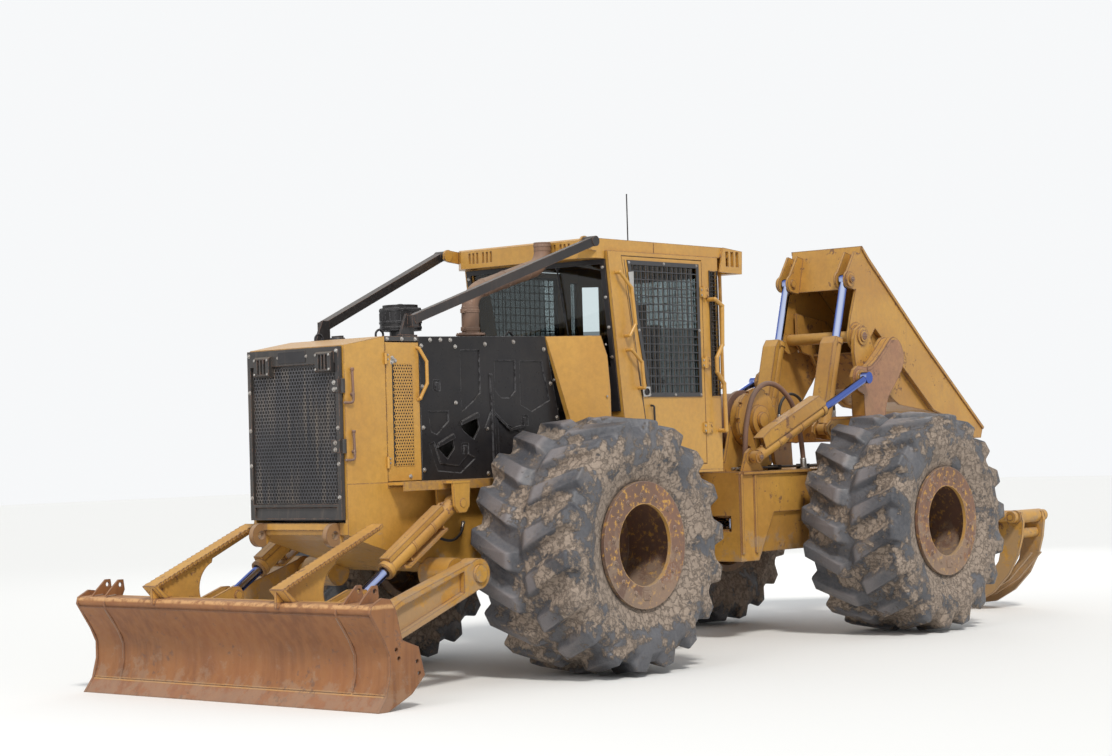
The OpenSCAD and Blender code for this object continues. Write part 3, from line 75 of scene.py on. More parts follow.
def makeWorld():
    world = bpy.data.worlds.new("studio")
    bpy.context.scene.world = world
    world.use_nodes = True
    tree = world.node_tree
    sky = tree.nodes["Background"]
    feed(tree, sky, {"Color": (*light["skyColour"], 1), "Strength": light["sky"]})
    # camera, metal and glass see the pale backdrop at its own strength
    shown = addNode(tree, "ShaderNodeBackground", {"Color": (*light["backdrop"], 1), "Strength": 1.0})
    ray = addNode(tree, "ShaderNodeLightPath")
    seen = larger(tree, ray.outputs["Is Camera Ray"], ray.outputs["Is Glossy Ray"])
    seen = larger(tree, seen, ray.outputs["Is Transmission Ray"])
    both = addNode(tree, "ShaderNodeMixShader", {0: seen, 1: sky.outputs[0], 2: shown.outputs[0]})
    tree.links.new(both.outputs[0], tree.nodes["World Output"].inputs[0])


def addLamp(name, data):
    lamp = bpy.data.objects.new(name, data)
    bpy.context.collection.objects.link(lamp)
    return lamp


def makeLamps():
    sun = bpy.data.lights.new("sun", "SUN")
    sun.energy = light["sun"]
    sun.angle = math.radians(light["sunAngle"])
    sun.color = light["sunColour"]
    addLamp("sun", sun).rotation_euler = Vector(light["sunFrom"]).to_track_quat("Z", "Y").to_euler()
    for name, place in light["fillPlaces"].items():
        area = bpy.data.lights.new(name, "AREA")
        area.energy = light["fill"]
        area.size = light["fillSize"]
        lamp = addLamp(name, area)
        lamp.location = place
        lamp.rotation_euler = (Vector(place) - Vector(light["fillAim"])).to_track_quat("Z", "Y").to_euler()


def makeFloor():
    mesh = bpy.data.meshes.new("floor")
    half = light["floorHalf"]
    corners = [(-half, -half, 0), (half, -half, 0), (half, half, 0), (-half, half, 0)]
    mesh.from_pydata(corners, [], [(0, 1, 2, 3)])
    floor = bpy.data.objects.new("floor", mesh)
    bpy.context.collection.objects.link(floor)
    surface, tree, shader = newMaterial("paleFloor")
    feed(tree, shader, {"Base Color": (*light["floor"], 1), "Roughness": 0.9})
    mesh.materials.append(surface)


# Small helpers for shader nodes

def feed(tree, node, inputs):
    # links a socket, and writes a plain value into the socket itself
    for key, value in inputs.items():
        if isinstance(value, bpy.types.NodeSocket):
            tree.links.new(value, node.inputs[key])
        else:
            node.inputs[key].default_value = value


def addNode(tree, kind, inputs=None, **settings):
    node = tree.nodes.new(kind)
    for key, value in settings.items():
        setattr(node, key, value)
    feed(tree, node, inputs or {})
    return node


def mathNode(tree, operation, first, second=0.0, clamp=False):
    node = addNode(tree, "ShaderNodeMath", {0: first, 1: second}, operation=operation, use_clamp=clamp)
    return node.outputs[0]


def times(tree, first, second, clamp=False):
    return mathNode(tree, "MULTIPLY", first, second, clamp)


def plus(tree, first, second, clamp=False):
    return mathNode(tree, "ADD", first, second, clamp)


def minus(tree, first, second):
    return mathNode(tree, "SUBTRACT", first, second)


def larger(tree, first, second):
    return mathNode(tree, "MAXIMUM", first, second)


def weighed(tree, first, firstShare, second, secondShare):
    return plus(tree, times(tree, first, firstShare), times(tree, second, secondShare))


def ramp(tree, value, low, high):
    return addNode(tree, "ShaderNodeMapRange", {"Value": value, "From Min": low, "From Max": high},
                   interpolation_type="SMOOTHSTEP").outputs["Result"]


def mixColour(tree, factor, first, second, blend="MIX"):
    inputs = {0: factor, 6: first, 7: second}
    inputs = {k: (*v, 1) if isinstance(v, tuple) and len(v) == 3 else v for k, v in inputs.items()}
    return addNode(tree, "ShaderNodeMix", inputs, data_type="RGBA", blend_type=blend).outputs[2]


def mixValue(tree, factor, first, second):
    return addNode(tree, "ShaderNodeMix", {0: factor, 2: first, 3: second}, data_type="FLOAT").outputs[0]


def noise(tree, where, scale, detail=4.0, rough=0.55):
    inputs = {"Vector": where, "Scale": scale, "Detail": detail, "Roughness": rough}
    return addNode(tree, "ShaderNodeTexNoise", inputs).outputs["Fac"]


def vectorNode(tree, operation, first, second, output=0):
    return addNode(tree, "ShaderNodeVectorMath", {0: first, 1: second}, operation=operation).outputs[output]


def parted(tree, vector):
    return addNode(tree, "ShaderNodeSeparateXYZ", {0: vector}).outputs


def objectPlace(tree):
    return tree.nodes.new("ShaderNodeTexCoord").outputs["Object"]


def makeGroup(name, inputs, outputs):
    tree = bpy.data.node_groups.new(name, "ShaderNodeTree")
    for label, start in inputs.items():
        kind = "NodeSocketVector" if isinstance(start, tuple) else "NodeSocketFloat"
        tree.interface.new_socket(label, in_out="INPUT", socket_type=kind).default_value = start
    for label in outputs:
        tree.interface.new_socket(label, in_out="OUTPUT", socket_type="NodeSocketFloat")
    given = tree.nodes.new("NodeGroupInput").outputs
    result = tree.nodes.new("NodeGroupOutput")
    where = tree.nodes.new("ShaderNodeTexCoord").outputs
    return tree, given, result, where


def useGroup(tree, name, **inputs):
    node = tree.nodes.new("ShaderNodeGroup")
    node.node_tree = bpy.data.node_groups[name]
    feed(tree, node, inputs)
    return node.outputs


# Shared effects, one group each

def edgeWearEffect():
    # paint rubbed off along edges and corners
    inputs = {"width": 0.01, "amount": 0.5, "grain": 25.0}
    tree, given, result, where = makeGroup("edgeWear", inputs, ["mask"])
    rounded = addNode(tree, "ShaderNodeBevel", {"Radius": given["width"]}, samples=4).outputs[0]
    flat = tree.nodes.new("ShaderNodeNewGeometry").outputs["Normal"]
    edge = ramp(tree, vectorNode(tree, "DOT_PRODUCT", rounded, flat, "Value"), 0.995, 0.86)
    patchy = noise(tree, where["Object"], given["grain"], 5, 0.7)
    level = plus(tree, weighed(tree, edge, 0.75, patchy, 0.9), given["amount"])
    feed(tree, result, {"mask": times(tree, ramp(tree, level, 1.30, 1.42), ramp(tree, edge, 0.02, 0.2))})


def chipsEffect():
    # worn spots, chips and stone marks anywhere
    tree, given, result, where = makeGroup("chips", {"scale": 18.0, "amount": 0.3}, ["mask"])
    big = noise(tree, where["Object"], times(tree, given["scale"], 0.13), 2)
    small = noise(tree, where["Object"], given["scale"], 6, 0.72)
    level = plus(tree, weighed(tree, big, 0.5, small, 0.9), times(tree, given["amount"], 0.4))
    feed(tree, result, {"mask": ramp(tree, level, 0.98, 1.02)})


def runsEffect():
    # runs of rust or dirty water down upright faces
    tree, given, result, where = makeGroup("runs", {"width": 26.0, "length": 1.1, "amount": 0.3}, ["mask"])
    size = {0: given["width"], 1: given["width"], 2: given["length"]}
    size = addNode(tree, "ShaderNodeCombineXYZ", size).outputs[0]
    lines = noise(tree, vectorNode(tree, "MULTIPLY", where["Object"], size), 1.0, 3, 0.6)
    breaks = noise(tree, where["Object"], 2.3, 2)
    level = plus(tree, weighed(tree, lines, 0.8, breaks, 0.45), times(tree, given["amount"], 0.3))
    feed(tree, result, {"mask": ramp(tree, level, 0.70, 0.98)})


def dirtEffect():
    # dust that lies on upper faces, and mud splashed up from the ground
    tree, given, result, where = makeGroup("dirt", {"dust": 0.4, "mud": 0.5, "top": 1.1, "grain": 7.0},
                                           ["dust", "mud", "height"])
    cloud = noise(tree, where["Object"], given["grain"], 6, 0.65)
    fine = noise(tree, where["Object"], 60, 4, 0.7)
    upward = ramp(tree, parted(tree, where["Normal"])["Z"], 0.35, 0.95)
    dust = times(tree, times(tree, upward, plus(tree, cloud, 0.15)), given["dust"])
    dust = plus(tree, dust, times(tree, cloud, 0.06), True)
    depth = minus(tree, given["top"], parted(tree, where["Object"])["Z"])
    level = plus(tree, weighed(tree, depth, 0.55, fine, 0.25), minus(tree, cloud, 0.72))
    mud = times(tree, ramp(tree, level, 0.0, 0.12), given["mud"], True)
    feed(tree, result, {"dust": dust, "mud": mud, "height": times(tree, mud, fine)})


def toneEffect():
    # soft change of tone over a painted or rusted face
    tree, given, result, where = makeGroup("tone", {"scale": 1.6}, ["broad", "fine"])
    broad = noise(tree, where["Object"], given["scale"], 3)
    fine = noise(tree, where["Object"], times(tree, given["scale"], 14), 6, 0.7)
    feed(tree, result, {"broad": ramp(tree, broad, 0.32, 0.68), "fine": ramp(tree, fine, 0.3, 0.7)})


def zoneEffect():
    # 1 inside a box of the machine, on both its sides, soft or ragged at the box's faces
    corners = {"low": (0.0, 0.0, 0.0), "high": (1.0, 1.0, 1.0), "soft": 0.002, "ragged": 0.0}
    tree, given, result, where = makeGroup("zone", corners, ["mask"])
    shift = times(tree, minus(tree, noise(tree, where["Object"], 9, 6, 0.7), 0.5), given["ragged"])
    place, low, high = (parted(tree, vector) for vector in (where["Object"], given["low"], given["high"]))
    inside = None
    for axis in "XYZ":
        here = place[axis] if axis != "Y" else mathNode(tree, "ABSOLUTE", place[axis])
        here = plus(tree, here, shift)
        for depth in (minus(tree, here, low[axis]), minus(tree, high[axis], here)):
            step = mathNode(tree, "DIVIDE", depth, given["soft"], True)
            inside = step if inside is None else times(tree, inside, step)
    feed(tree, result, {"mask": inside})


def wheelRingEffect():
    # distance from the axle of the wheels that stand at a station
    tree, given, result, where = makeGroup("wheelRing", {"station": 0.0, "height": 0.9}, ["radius"])
    place = parted(tree, where["Object"])
    along = minus(tree, place["X"], given["station"])
    up = minus(tree, place["Z"], given["height"])
    square = plus(tree, times(tree, along, along), times(tree, up, up))
    feed(tree, result, {"radius": mathNode(tree, "SQRT", square)})


def cakeEffect():
    # dried mud with cracks
    tree, given, result, where = makeGroup("cake", {"scale": 26.0}, ["crack", "lump"])
    wobble = {"Vector": where["Object"], "Scale": 14.0, "Detail": 5.0, "Roughness": 0.7}
    wobble = addNode(tree, "ShaderNodeTexNoise", wobble).outputs["Color"]
    moved = vectorNode(tree, "MULTIPLY", wobble, (0.16, 0.16, 0.16))
    moved = vectorNode(tree, "ADD", where["Object"], moved)
    cells = addNode(tree, "ShaderNodeTexVoronoi", {"Vector": moved, "Scale": given["scale"]},
                    feature="DISTANCE_TO_EDGE").outputs["Distance"]
    feed(tree, result, {"crack": ramp(tree, cells, 0.0, 0.10),
                        "lump": noise(tree, where["Object"], 34, 6, 0.7)})


effects = (edgeWearEffect, chipsEffect, runsEffect, dirtEffect, toneEffect, zoneEffect, wheelRingEffect,
           cakeEffect)


# Painted, rusted and moulded surfaces share one build

def finish(colour, second, rough, under, runColour, **own):
    # colour and second are the coat's two tones, under is what shows where it is worn through
    plain = {"coat": 0.0, "shine": 0.5, "metal": 0.0, "wear": 0.2, "wearWidth": 0.012, "chips": 0.3,
             "runs": 0.3, "dust": 0.3, "mud": 0.5, "mudTop": 1.0, "peel": 0.03}
    return {**plain, "colour": colour, "second": second, "rough": rough, "under": under,
            "runColour": runColour, **own}


finishes = {
    "goldPaint": finish((0.525, 0.278, 0.048), (0.47, 0.236, 0.038), 0.38, (0.20, 0.105, 0.06),
                        (0.22, 0.12, 0.05), coat=0.25, wear=0.22, chips=0.10, runs=0.10, dust=0.20,
                        mudTop=0.90, peel=0.02),
    "workedPaint": finish((0.505, 0.265, 0.046), (0.41, 0.20, 0.038), 0.45, (0.19, 0.09, 0.05),
                          (0.20, 0.11, 0.055), coat=0.1, wear=0.38, wearWidth=0.018, chips=0.42, runs=0.25,
                          dust=0.32, mudTop=0.95),
    "blackPaint": finish((0.008, 0.009, 0.013), (0.016, 0.017, 0.022), 0.34, (0.16, 0.10, 0.07),
                         (0.10, 0.075, 0.06), coat=0.05, shine=0.3, wear=0.16, wearWidth=0.006, chips=0.08,
                         runs=0.15, dust=0.2, mud=0.4, mudTop=1.2, peel=0.02),
    "rustyBlack": finish((0.012, 0.012, 0.015), (0.026, 0.022, 0.023), 0.36, (0.24, 0.13, 0.09),
                         (0.2, 0.11, 0.07), coat=0.08, shine=0.35, wear=0.22, wearWidth=0.008, chips=0.12,
                         runs=0.12, dust=0.16, mud=0.4, mudTop=1.2, peel=0.04),
    "mouldedBlack": finish((0.0045, 0.005, 0.0075), (0.009, 0.0095, 0.0135), 0.30, (0.14, 0.14, 0.15),
                           (0.06, 0.05, 0.045), shine=0.24, chips=0.12, runs=0.12, dust=0.1, mud=0.0,
                           peel=0.05),
    "oldIron": finish((0.20, 0.105, 0.07), (0.13, 0.075, 0.055), 0.75, (0.33, 0.23, 0.18), (0.30, 0.13, 0.06),
                      wear=0.3, peel=0.12),
    "scorchedPipe": finish((0.20, 0.112, 0.070), (0.12, 0.070, 0.052), 0.62, (0.36, 0.24, 0.18),
                           (0.33, 0.17, 0.10), chips=0.35, runs=0.4, mud=0.0, peel=0.08),
    "greyIron": finish((0.115, 0.11, 0.105), (0.075, 0.07, 0.065), 0.6, (0.25, 0.22, 0.2), (0.06, 0.05, 0.04),
                       wear=0.3, wearWidth=0.01, chips=0.2, runs=0.4, dust=0.6, mud=0.8, mudTop=1.3,
                       peel=0.08),
    "zincSteel": finish((0.50, 0.49, 0.47), (0.36, 0.34, 0.32), 0.35, (0.25, 0.17, 0.12), (0.22, 0.15, 0.11),
                        wearWidth=0.004, mud=0.3, metal=0.9)}


def newMaterial(name):
    material = bpy.data.materials.new(name)
    material.use_nodes = True
    tree = material.node_tree
    return material, tree, tree.nodes["Principled BSDF"]


def relief(tree, height, strength, depth, ease=0.0):
    # fine relief, over edges that are eased to a small radius
    inputs = {"Height": height, "Strength": strength, "Distance": depth}
    if ease:
        inputs["Normal"] = addNode(tree, "ShaderNodeBevel", {"Radius": ease}, samples=4).outputs[0]
    return addNode(tree, "ShaderNodeBump", inputs).outputs[0]


def coatedSurface(name, look, over=None):
    # over paints other tones into the bare coat before wear and dirt, and returns the new colour
    material, tree, shader = newMaterial(name)
    tone = useGroup(tree, "tone")
    colour = mixColour(tree, tone["broad"], look["colour"], look["second"])
    shade = mixColour(tree, tone["fine"], (0.90, 0.90, 0.90), (1.06, 1.06, 1.06))
    colour = mixColour(tree, 1.0, colour, shade, "MULTIPLY")
    if over:
        colour = over(tree, colour, tone)
    run = useGroup(tree, "runs", amount=look["runs"])["mask"]
    colour = mixColour(tree, times(tree, run, look["runs"]), colour, look["runColour"])
    edge = useGroup(tree, "edgeWear", width=look["wearWidth"], amount=look["wear"])["mask"]
    chip = useGroup(tree, "chips", amount=look["chips"])["mask"]
    bare = larger(tree, edge, times(tree, chip, 0.85))
    under = mixColour(tree, tone["fine"], look["under"], tuple(0.62 * v for v in look["under"]))
    colour = mixColour(tree, bare, colour, under)
    dirt = useGroup(tree, "dirt", dust=look["dust"], mud=look["mud"], top=look["mudTop"])
    colour = mixColour(tree, dirt["dust"], colour, (0.40, 0.33, 0.25))
    colour = mixColour(tree, dirt["mud"], colour, (0.30, 0.225, 0.16))
    rough = mixValue(tree, tone["fine"], look["rough"] - 0.06, look["rough"] + 0.08)
    rough = mixValue(tree, bare, rough, 0.68)
    rough = mixValue(tree, larger(tree, dirt["mud"], dirt["dust"]), rough, 0.92)
    height = minus(tree, times(tree, tone["fine"], look["peel"]), times(tree, bare, 0.25))
    height = plus(tree, height, times(tree, dirt["height"], 1.4))
    feed(tree, shader, {"Base Color": colour, "Roughness": rough, "Metallic": look["metal"],
                        "Coat Weight": look["coat"], "Coat Roughness": 0.22,
                        "Specular IOR Level": look["shine"],
                        "Normal": relief(tree, height, 0.6, 0.004, 0.004)})
    return material


def zoneMask(tree, low, high, soft=0.002, ragged=0.0):
    corners = {"low": tuple(at(*low)), "high": tuple(at(*high))}
    return useGroup(tree, "zone", **corners, soft=soft, ragged=ragged)["mask"]


def paintedBlade(tree, colour, tone):
    # the sheet, its end plates and the ears are rusted, the racks and cylinder lugs keep their paint
    sheet = zoneMask(tree, (2.36, -1, -0.1), (2.7, 2, 0.664))
    bare = larger(tree, sheet, zoneMask(tree, (2.0, 1.10, -0.1), (2.7, 1.6, 0.9)))
    rusty = mixColour(tree, tone["broad"], (0.232, 0.084, 0.024), (0.150, 0.054, 0.018))
    streaks = useGroup(tree, "runs", width=16.0, length=1.4, amount=0.8)["mask"]
    rusty = mixColour(tree, times(tree, streaks, 0.6), rusty, (0.28, 0.115, 0.034))
    pits = useGroup(tree, "chips", scale=9.0, amount=0.2)["mask"]
    rusty = mixColour(tree, pits, rusty, (0.10, 0.040, 0.018))
    # painted highlight: a lighter, patchy band along the top edge, where it faces the sun
    top = zoneMask(tree, (2.36, -1, 0.628), (2.7, 2, 0.664), 0.012, 0.012)
    rusty = mixColour(tree, times(tree, top, ramp(tree, tone["fine"], 0.0, 0.7)), rusty, (0.50, 0.27, 0.11))
    edge = zoneMask(tree, (2.40, -1, 0.0), (2.7, 2, 0.088), 0.008, 0.01)
    rusty = mixColour(tree, times(tree, edge, 0.4), rusty, (0.26, 0.12, 0.075))
    # painted highlight: a light line on the ledge over the cutting edge
    seam = zoneMask(tree, (2.40, -1, 0.086), (2.7, 1.418, 0.110), 0.006, 0.008)
    rusty = mixColour(tree, times(tree, seam, 0.85), rusty, (0.55, 0.29, 0.09))
    return mixColour(tree, bare, colour, rusty)


def paintedDoor(tree, colour, tone):
    # the mesh guard over the window is black
    guard = zoneMask(tree, (-1.732, 0.7203, 1.9), (-0.80, 0.80, 2.97))
    return mixColour(tree, guard, colour, (0.010, 0.011, 0.016))


def paintedHood(tree, colour, tone):
    # black edge rail on the rear part of the hood
    rail = zoneMask(tree, (1.05, -1, 2.332), (1.4195, 0.6, 2.40))
    return mixColour(tree, rail, colour, (0.022, 0.022, 0.024))


def paintedFrame(tree, colour, tone):
    # rusted lip of the side ledge, and the two tow eyes
    lip = zoneMask(tree, (-0.95, 0.598, 1.31), (1.45, 0.65, 1.40), 0.004, 0.02)
    eye = zoneMask(tree, (1.795, 0.30, 0.9), (2.0, 0.42, 1.2), 0.004)
    return mixColour(tree, larger(tree, times(tree, lip, tone["fine"]), eye), colour, (0.27, 0.145, 0.06))


def paintedArch(tree, colour, tone):
    # the outer faces of the arch arms are rubbed down to rust and red primer
    face = zoneMask(tree, (-4.93, 0.5125, 1.55), (-4.10, 0.53, 2.435))
    worn = mixColour(tree, tone["broad"], (0.33, 0.135, 0.075), (0.40, 0.20, 0.085))
    worn = mixColour(tree, times(tree, tone["fine"], 0.5), worn, (0.15, 0.085, 0.065))
    return mixColour(tree, times(tree, face, 0.92), colour, worn)


def paintedRim(station):
    # paint is left in patches, most of it near the bore
    def over(tree, colour, tone):
        inner = ramp(tree, useGroup(tree, "wheelRing", station=station)["radius"], 0.292, 0.280)
        patch = ramp(tree, plus(tree, tone["fine"], times(tree, inner, 0.9)), 0.62, 0.95)
        return mixColour(tree, patch, colour, (0.50, 0.27, 0.06))
    return over


def tyreSurface(name, station):
    material, tree, shader = newMaterial(name)
    radius = useGroup(tree, "wheelRing", station=station)["radius"]
    tone = useGroup(tree, "tone", scale=3.0)
    cake = useGroup(tree, "cake", scale=17.0)
    where = objectPlace(tree)
    colour = mixColour(tree, tone["broad"], (0.036, 0.039, 0.048), (0.088, 0.090, 0.102))
    colour = mixColour(tree, times(tree, tone["fine"], 0.35), colour, (0.15, 0.145, 0.15))
    # painted highlight: the tops of the lugs drawn lighter, as where they catch the sky
    lugTopHighlight = times(tree, ramp(tree, radius, 0.868, 0.893), 0.55)
    colour = mixColour(tree, lugTopHighlight, colour, (0.23, 0.205, 0.205))
    # mud packs between the lugs and round the rim
    level = weighed(tree, noise(tree, where, 2.6, 3, 0.6), 0.8, noise(tree, where, 11, 7, 0.72), 0.7)
    level = plus(tree, level, times(tree, ramp(tree, radius, 0.872, 0.835), 0.08))
    level = plus(tree, level, times(tree, ramp(tree, radius, 0.66, 0.50), 0.10))
    mud = ramp(tree, level, 0.79, 0.86)
    tan = mixColour(tree, cake["lump"], (0.17, 0.13, 0.10), (0.44, 0.355, 0.285))
    tan = mixColour(tree, mixValue(tree, cake["crack"], 0.45, 1.0), (0.085, 0.065, 0.052), tan)
    colour = mixColour(tree, mud, colour, tan)
    film = ramp(tree, noise(tree, where, 5.0, 6, 0.75), 0.50, 0.72)
    colour = mixColour(tree, times(tree, film, 0.42), colour, (0.25, 0.20, 0.165))
    thick = times(tree, mud, plus(tree, cake["lump"], times(tree, cake["crack"], 0.5)))
    height = plus(tree, thick, times(tree, tone["fine"], 0.15))
    feed(tree, shader, {"Base Color": colour, "Roughness": mixValue(tree, mud, 0.42, 0.95),
                        "Normal": relief(tree, height, 0.9, 0.010, 0.012)})
    return material


def chromeSurface(name):
    material, tree, shader = newMaterial(name)
    film = ramp(tree, noise(tree, objectPlace(tree), 9, 5, 0.7), 0.55, 0.8)
    # painted reflection: the sky drawn into the colour of a round rod as a pale line between deep blue flanks
    facing = addNode(tree, "ShaderNodeLayerWeight", {"Blend": 0.5}).outputs["Facing"]
    sky = mixColour(tree, ramp(tree, facing, 0.02, 0.42), (0.56, 0.62, 0.82), (0.075, 0.125, 0.40))
    feed(tree, shader, {"Base Color": mixColour(tree, times(tree, film, 0.5), sky, (0.30, 0.28, 0.30)),
                        "Roughness": mixValue(tree, film, 0.09, 0.32), "Metallic": 1.0})
    return material


def glassSurface(name):
    material, tree, shader = newMaterial(name)
    smears = ramp(tree, noise(tree, objectPlace(tree), 6, 5, 0.7), 0.5, 0.75)
    feed(tree, shader, {"Base Color": (0.20, 0.23, 0.235, 1), "Roughness": mixValue(tree, smears, 0.02, 0.12),
                        "Transmission Weight": 1.0, "IOR": 1.02, "Coat Weight": 0.7, "Coat Roughness": 0.03})
    return material


def rubberSurface(name, colour, dusty):
    material, tree, shader = newMaterial(name)
    tone = useGroup(tree, "tone", scale=4.0)
    dirt = useGroup(tree, "dirt", dust=dusty, mud=0.0)
    mixed = mixColour(tree, tone["fine"], colour, tuple(1.7 * v for v in colour))
    feed(tree, shader, {"Base Color": mixColour(tree, dirt["dust"], mixed, (0.30, 0.25, 0.20)),
                        "Roughness": mixValue(tree, tone["fine"], 0.45, 0.65),
                        "Normal": relief(tree, tone["fine"], 0.3, 0.002)})
    return material


def seatCloth():
    material, tree, shader = newMaterial("seatCloth")
    threads = {"Vector": objectPlace(tree), "Scale": 130.0, "Distortion": 0.4}
    weave = [addNode(tree, "ShaderNodeTexWave", threads, bands_direction=axis) for axis in "YZ"]
    cloth = times(tree, weave[0].outputs["Fac"], weave[1].outputs["Fac"])
    feed(tree, shader, {"Base Color": mixColour(tree, cloth, (0.022, 0.023, 0.026), (0.060, 0.062, 0.068)),
                        "Roughness": 0.9, "Sheen Weight": 0.3, "Normal": relief(tree, cloth, 0.4, 0.002)})
    return material


# finishes that one piece changes: material name, finish, what differs, and what is painted over it
ownFinishes = {
    "blade": ("bladeIron", "workedPaint", {"rough": 0.62, "coat": 0.0, "mud": 0.3, "mudTop": 0.35,
                                           "dust": 0.12, "runs": 0.1}, paintedBlade),
    "door": ("doorPaint", "goldPaint", {"wear": -1.0, "chips": 0.04, "dust": 0.12}, paintedDoor),
    "hood": ("hoodPaint", "goldPaint", {}, paintedHood),
    "frame": ("framePaint", "goldPaint", {"mud": 0.6, "mudTop": 0.95, "runs": 0.18}, paintedFrame),
    "arch": ("archPaint", "workedPaint", {}, paintedArch),
    "rimFront": ("rimFront", "oldIron", {}, paintedRim(axleShift)),
    "rimRear": ("rimRear", "oldIron", {}, paintedRim(rearAxle + axleShift)),
    "screen": ("screenPaint", "rustyBlack", {"colour": (0.020, 0.020, 0.023), "second": (0.032, 0.030, 0.030),
                                             "wear": 0.16, "chips": 0.08, "runs": 0.22, "dust": 0.3,
                                             "runColour": (0.22, 0.165, 0.12)}, None),
    "meshBlack": ("meshBlack", "rustyBlack", {"colour": (0.028, 0.030, 0.038),
                                              "second": (0.050, 0.051, 0.060), "wear": -1.0, "chips": -0.3,
                                              "runs": 0.36, "runColour": (0.30, 0.235, 0.17),
                                              "dust": 0.15}, None)}


def makeMaterials():
    made = {name: coatedSurface(name, look) for name, look in finishes.items()}
    for name, (label, base, changes, over) in ownFinishes.items():
        made[name] = coatedSurface(label, {**finishes[base], **changes}, over)
    made["tyreFront"] = tyreSurface("tyreFront", axleShift)
    made["tyreRear"] = tyreSurface("tyreRear", rearAxle + axleShift)
    made["chrome"] = chromeSurface("chromedRod")
    made["mirror"] = chromeSurface("lampMirror")
    made["glass"] = glassSurface("smokedGlass")
    made["lens"] = glassSurface("lampLens")
    made["hose"] = rubberSurface("hoseRubber", (0.018, 0.018, 0.019), 0.5)
    # near-black sheet behind the service door holes: painted shade
    made["holeShadeSheet"] = rubberSurface("holeShadeSheet", (0.008, 0.008, 0.009), 0.15)
    made["cloth"] = seatCloth()
    return made


nodeFinish = {
    "frame": "front_frame", "arch": "arch", "hood": "hood", "door": "left_door right_door", "blade": "blade",
    "screen": "radiator_screen", "goldPaint": "cowl cab_shell cab_roof grab_rails left_service_door "
    "right_service_door",
    "workedPaint": "push_arms rear_frame front_axle rear_axle boom grapple_link grapple_yoke grapple_head "
    "left_tong right_tong winch_mount arch_cylinder_barrels boom_cylinder_barrels blade_cylinder_barrels "
    "grapple_barrels left_steering_barrel right_steering_barrel",
    "mouldedBlack": "engine_panels air_precleaner cab_interior antenna", "rustyBlack": "limb_risers",
    "blackPaint": "windscreen_frame access_step radiator_core", "scorchedPipe": "exhaust_stack",
    "greyIron": "transmission engine_block", "oldIron": "winch_drum",
    "glass": "cab_glass left_door_glass right_door_glass",
    "chrome": "blade_cylinder_rods arch_cylinder_rods boom_cylinder_rods grapple_rods left_steering_rod "
    "right_steering_rod",
    "tyreFront": "front_left_tyre front_right_tyre", "tyreRear": "rear_left_tyre rear_right_tyre",
    "rimFront": "front_left_rim front_right_rim", "rimRear": "rear_left_rim rear_right_rim"}
lugs = {"weld": 0.0002, "ease": 0.014, "sharp": 28}


def easeEdges(piece, width, sharp=30):
    bevel = piece.modifiers.new("round", "BEVEL")
    bevel.width = width
    bevel.segments = 2
    bevel.limit_method = "ANGLE"
    bevel.angle_limit = math.radians(sharp)


def dressNodes():
    for name, nodes in nodeFinish.items():
        for node in nodes.split():
            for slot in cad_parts[node].material_slots:
                slot.material = materials[name]
    for name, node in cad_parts.items():
        if name.endswith("_tyre"):
            node.modifiers.new("join", "WELD").merge_threshold = lugs["weld"]
            easeEdges(node, lugs["ease"], lugs["sharp"])


# Mesh helpers: each shape is a list of points and a list of faces

def joined(shapes):
    points, faces = [], []
    for shape in shapes:
        start = len(points)
        points += [tuple(p) for p in shape[0]]
        faces += [tuple(start + i for i in face) for face in shape[1]]
    return points, faces


def mirrored(shapes):
    points, faces = joined(shapes)
    return [([(x, -y, z) for x, y, z in points], [face[::-1] for face in faces])]


def addPiece(name, body, surface, shapes, smooth=40, round=0.0):
    points, faces = joined(shapes)
    mesh = bpy.data.meshes.new(name)
    mesh.from_pydata(points, [], faces)
    work = bmesh.new()
    work.from_mesh(mesh)
    bmesh.ops.recalc_face_normals(work, faces=work.faces)
    work.to_mesh(mesh)
    work.free()
    piece = bpy.data.objects.new(name, mesh)
    bpy.context.collection.objects.link(piece)
    mesh.materials.append(materials[surface])
    for face in mesh.polygons:
        face.use_smooth = True
    mesh.set_sharp_from_angle(angle=math.radians(smooth))
    if round:
        easeEdges(piece, round)
    if body:
        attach(piece, body)
    return piece


def frameOf(direction):
    ahead = Vector(direction).normalized()
    side = ahead.orthogonal().normalized()
    return ahead, side, ahead.cross(side)


def ringSpots(count, radius, start=0.0):
    turns = [start + 2 * math.pi * k / count for k in range(count)]
    return [(radius * math.cos(turn), radius * math.sin(turn)) for turn in turns]


def circle(centre, radius, first, second, count):
    turns = [2 * math.pi * k / count for k in range(count)]
    return [centre + radius * (math.cos(turn) * first + math.sin(turn) * second) for turn in turns]


def skinned(points, sides, closed=True):
    # faces between rings of points, and over both ends
    faces = []
    for start in range(0, len(points) - sides, sides):
        for k in range(sides):
            n = (k + 1) % sides
            faces.append((start + k, start + n, start + sides + n, start + sides + k))
    if closed:
        faces += [tuple(range(sides))[::-1], tuple(range(len(points) - sides, len(points)))]
    return points, faces


def tube(path, radius, sides=10, closed=True):
    path = [Vector(p) for p in path]
    radii = radius if isinstance(radius, (list, tuple)) else [radius] * len(path)
    points, side = [], None
    for i, here in enumerate(path):
        ahead = (path[min(i + 1, len(path) - 1)] - path[max(i - 1, 0)]).normalized()
        side = (ahead.orthogonal() if side is None else side - ahead * side.dot(ahead)).normalized()
        points += circle(here, radii[i], side, ahead.cross(side), sides)
    return skinned(points, sides, closed)


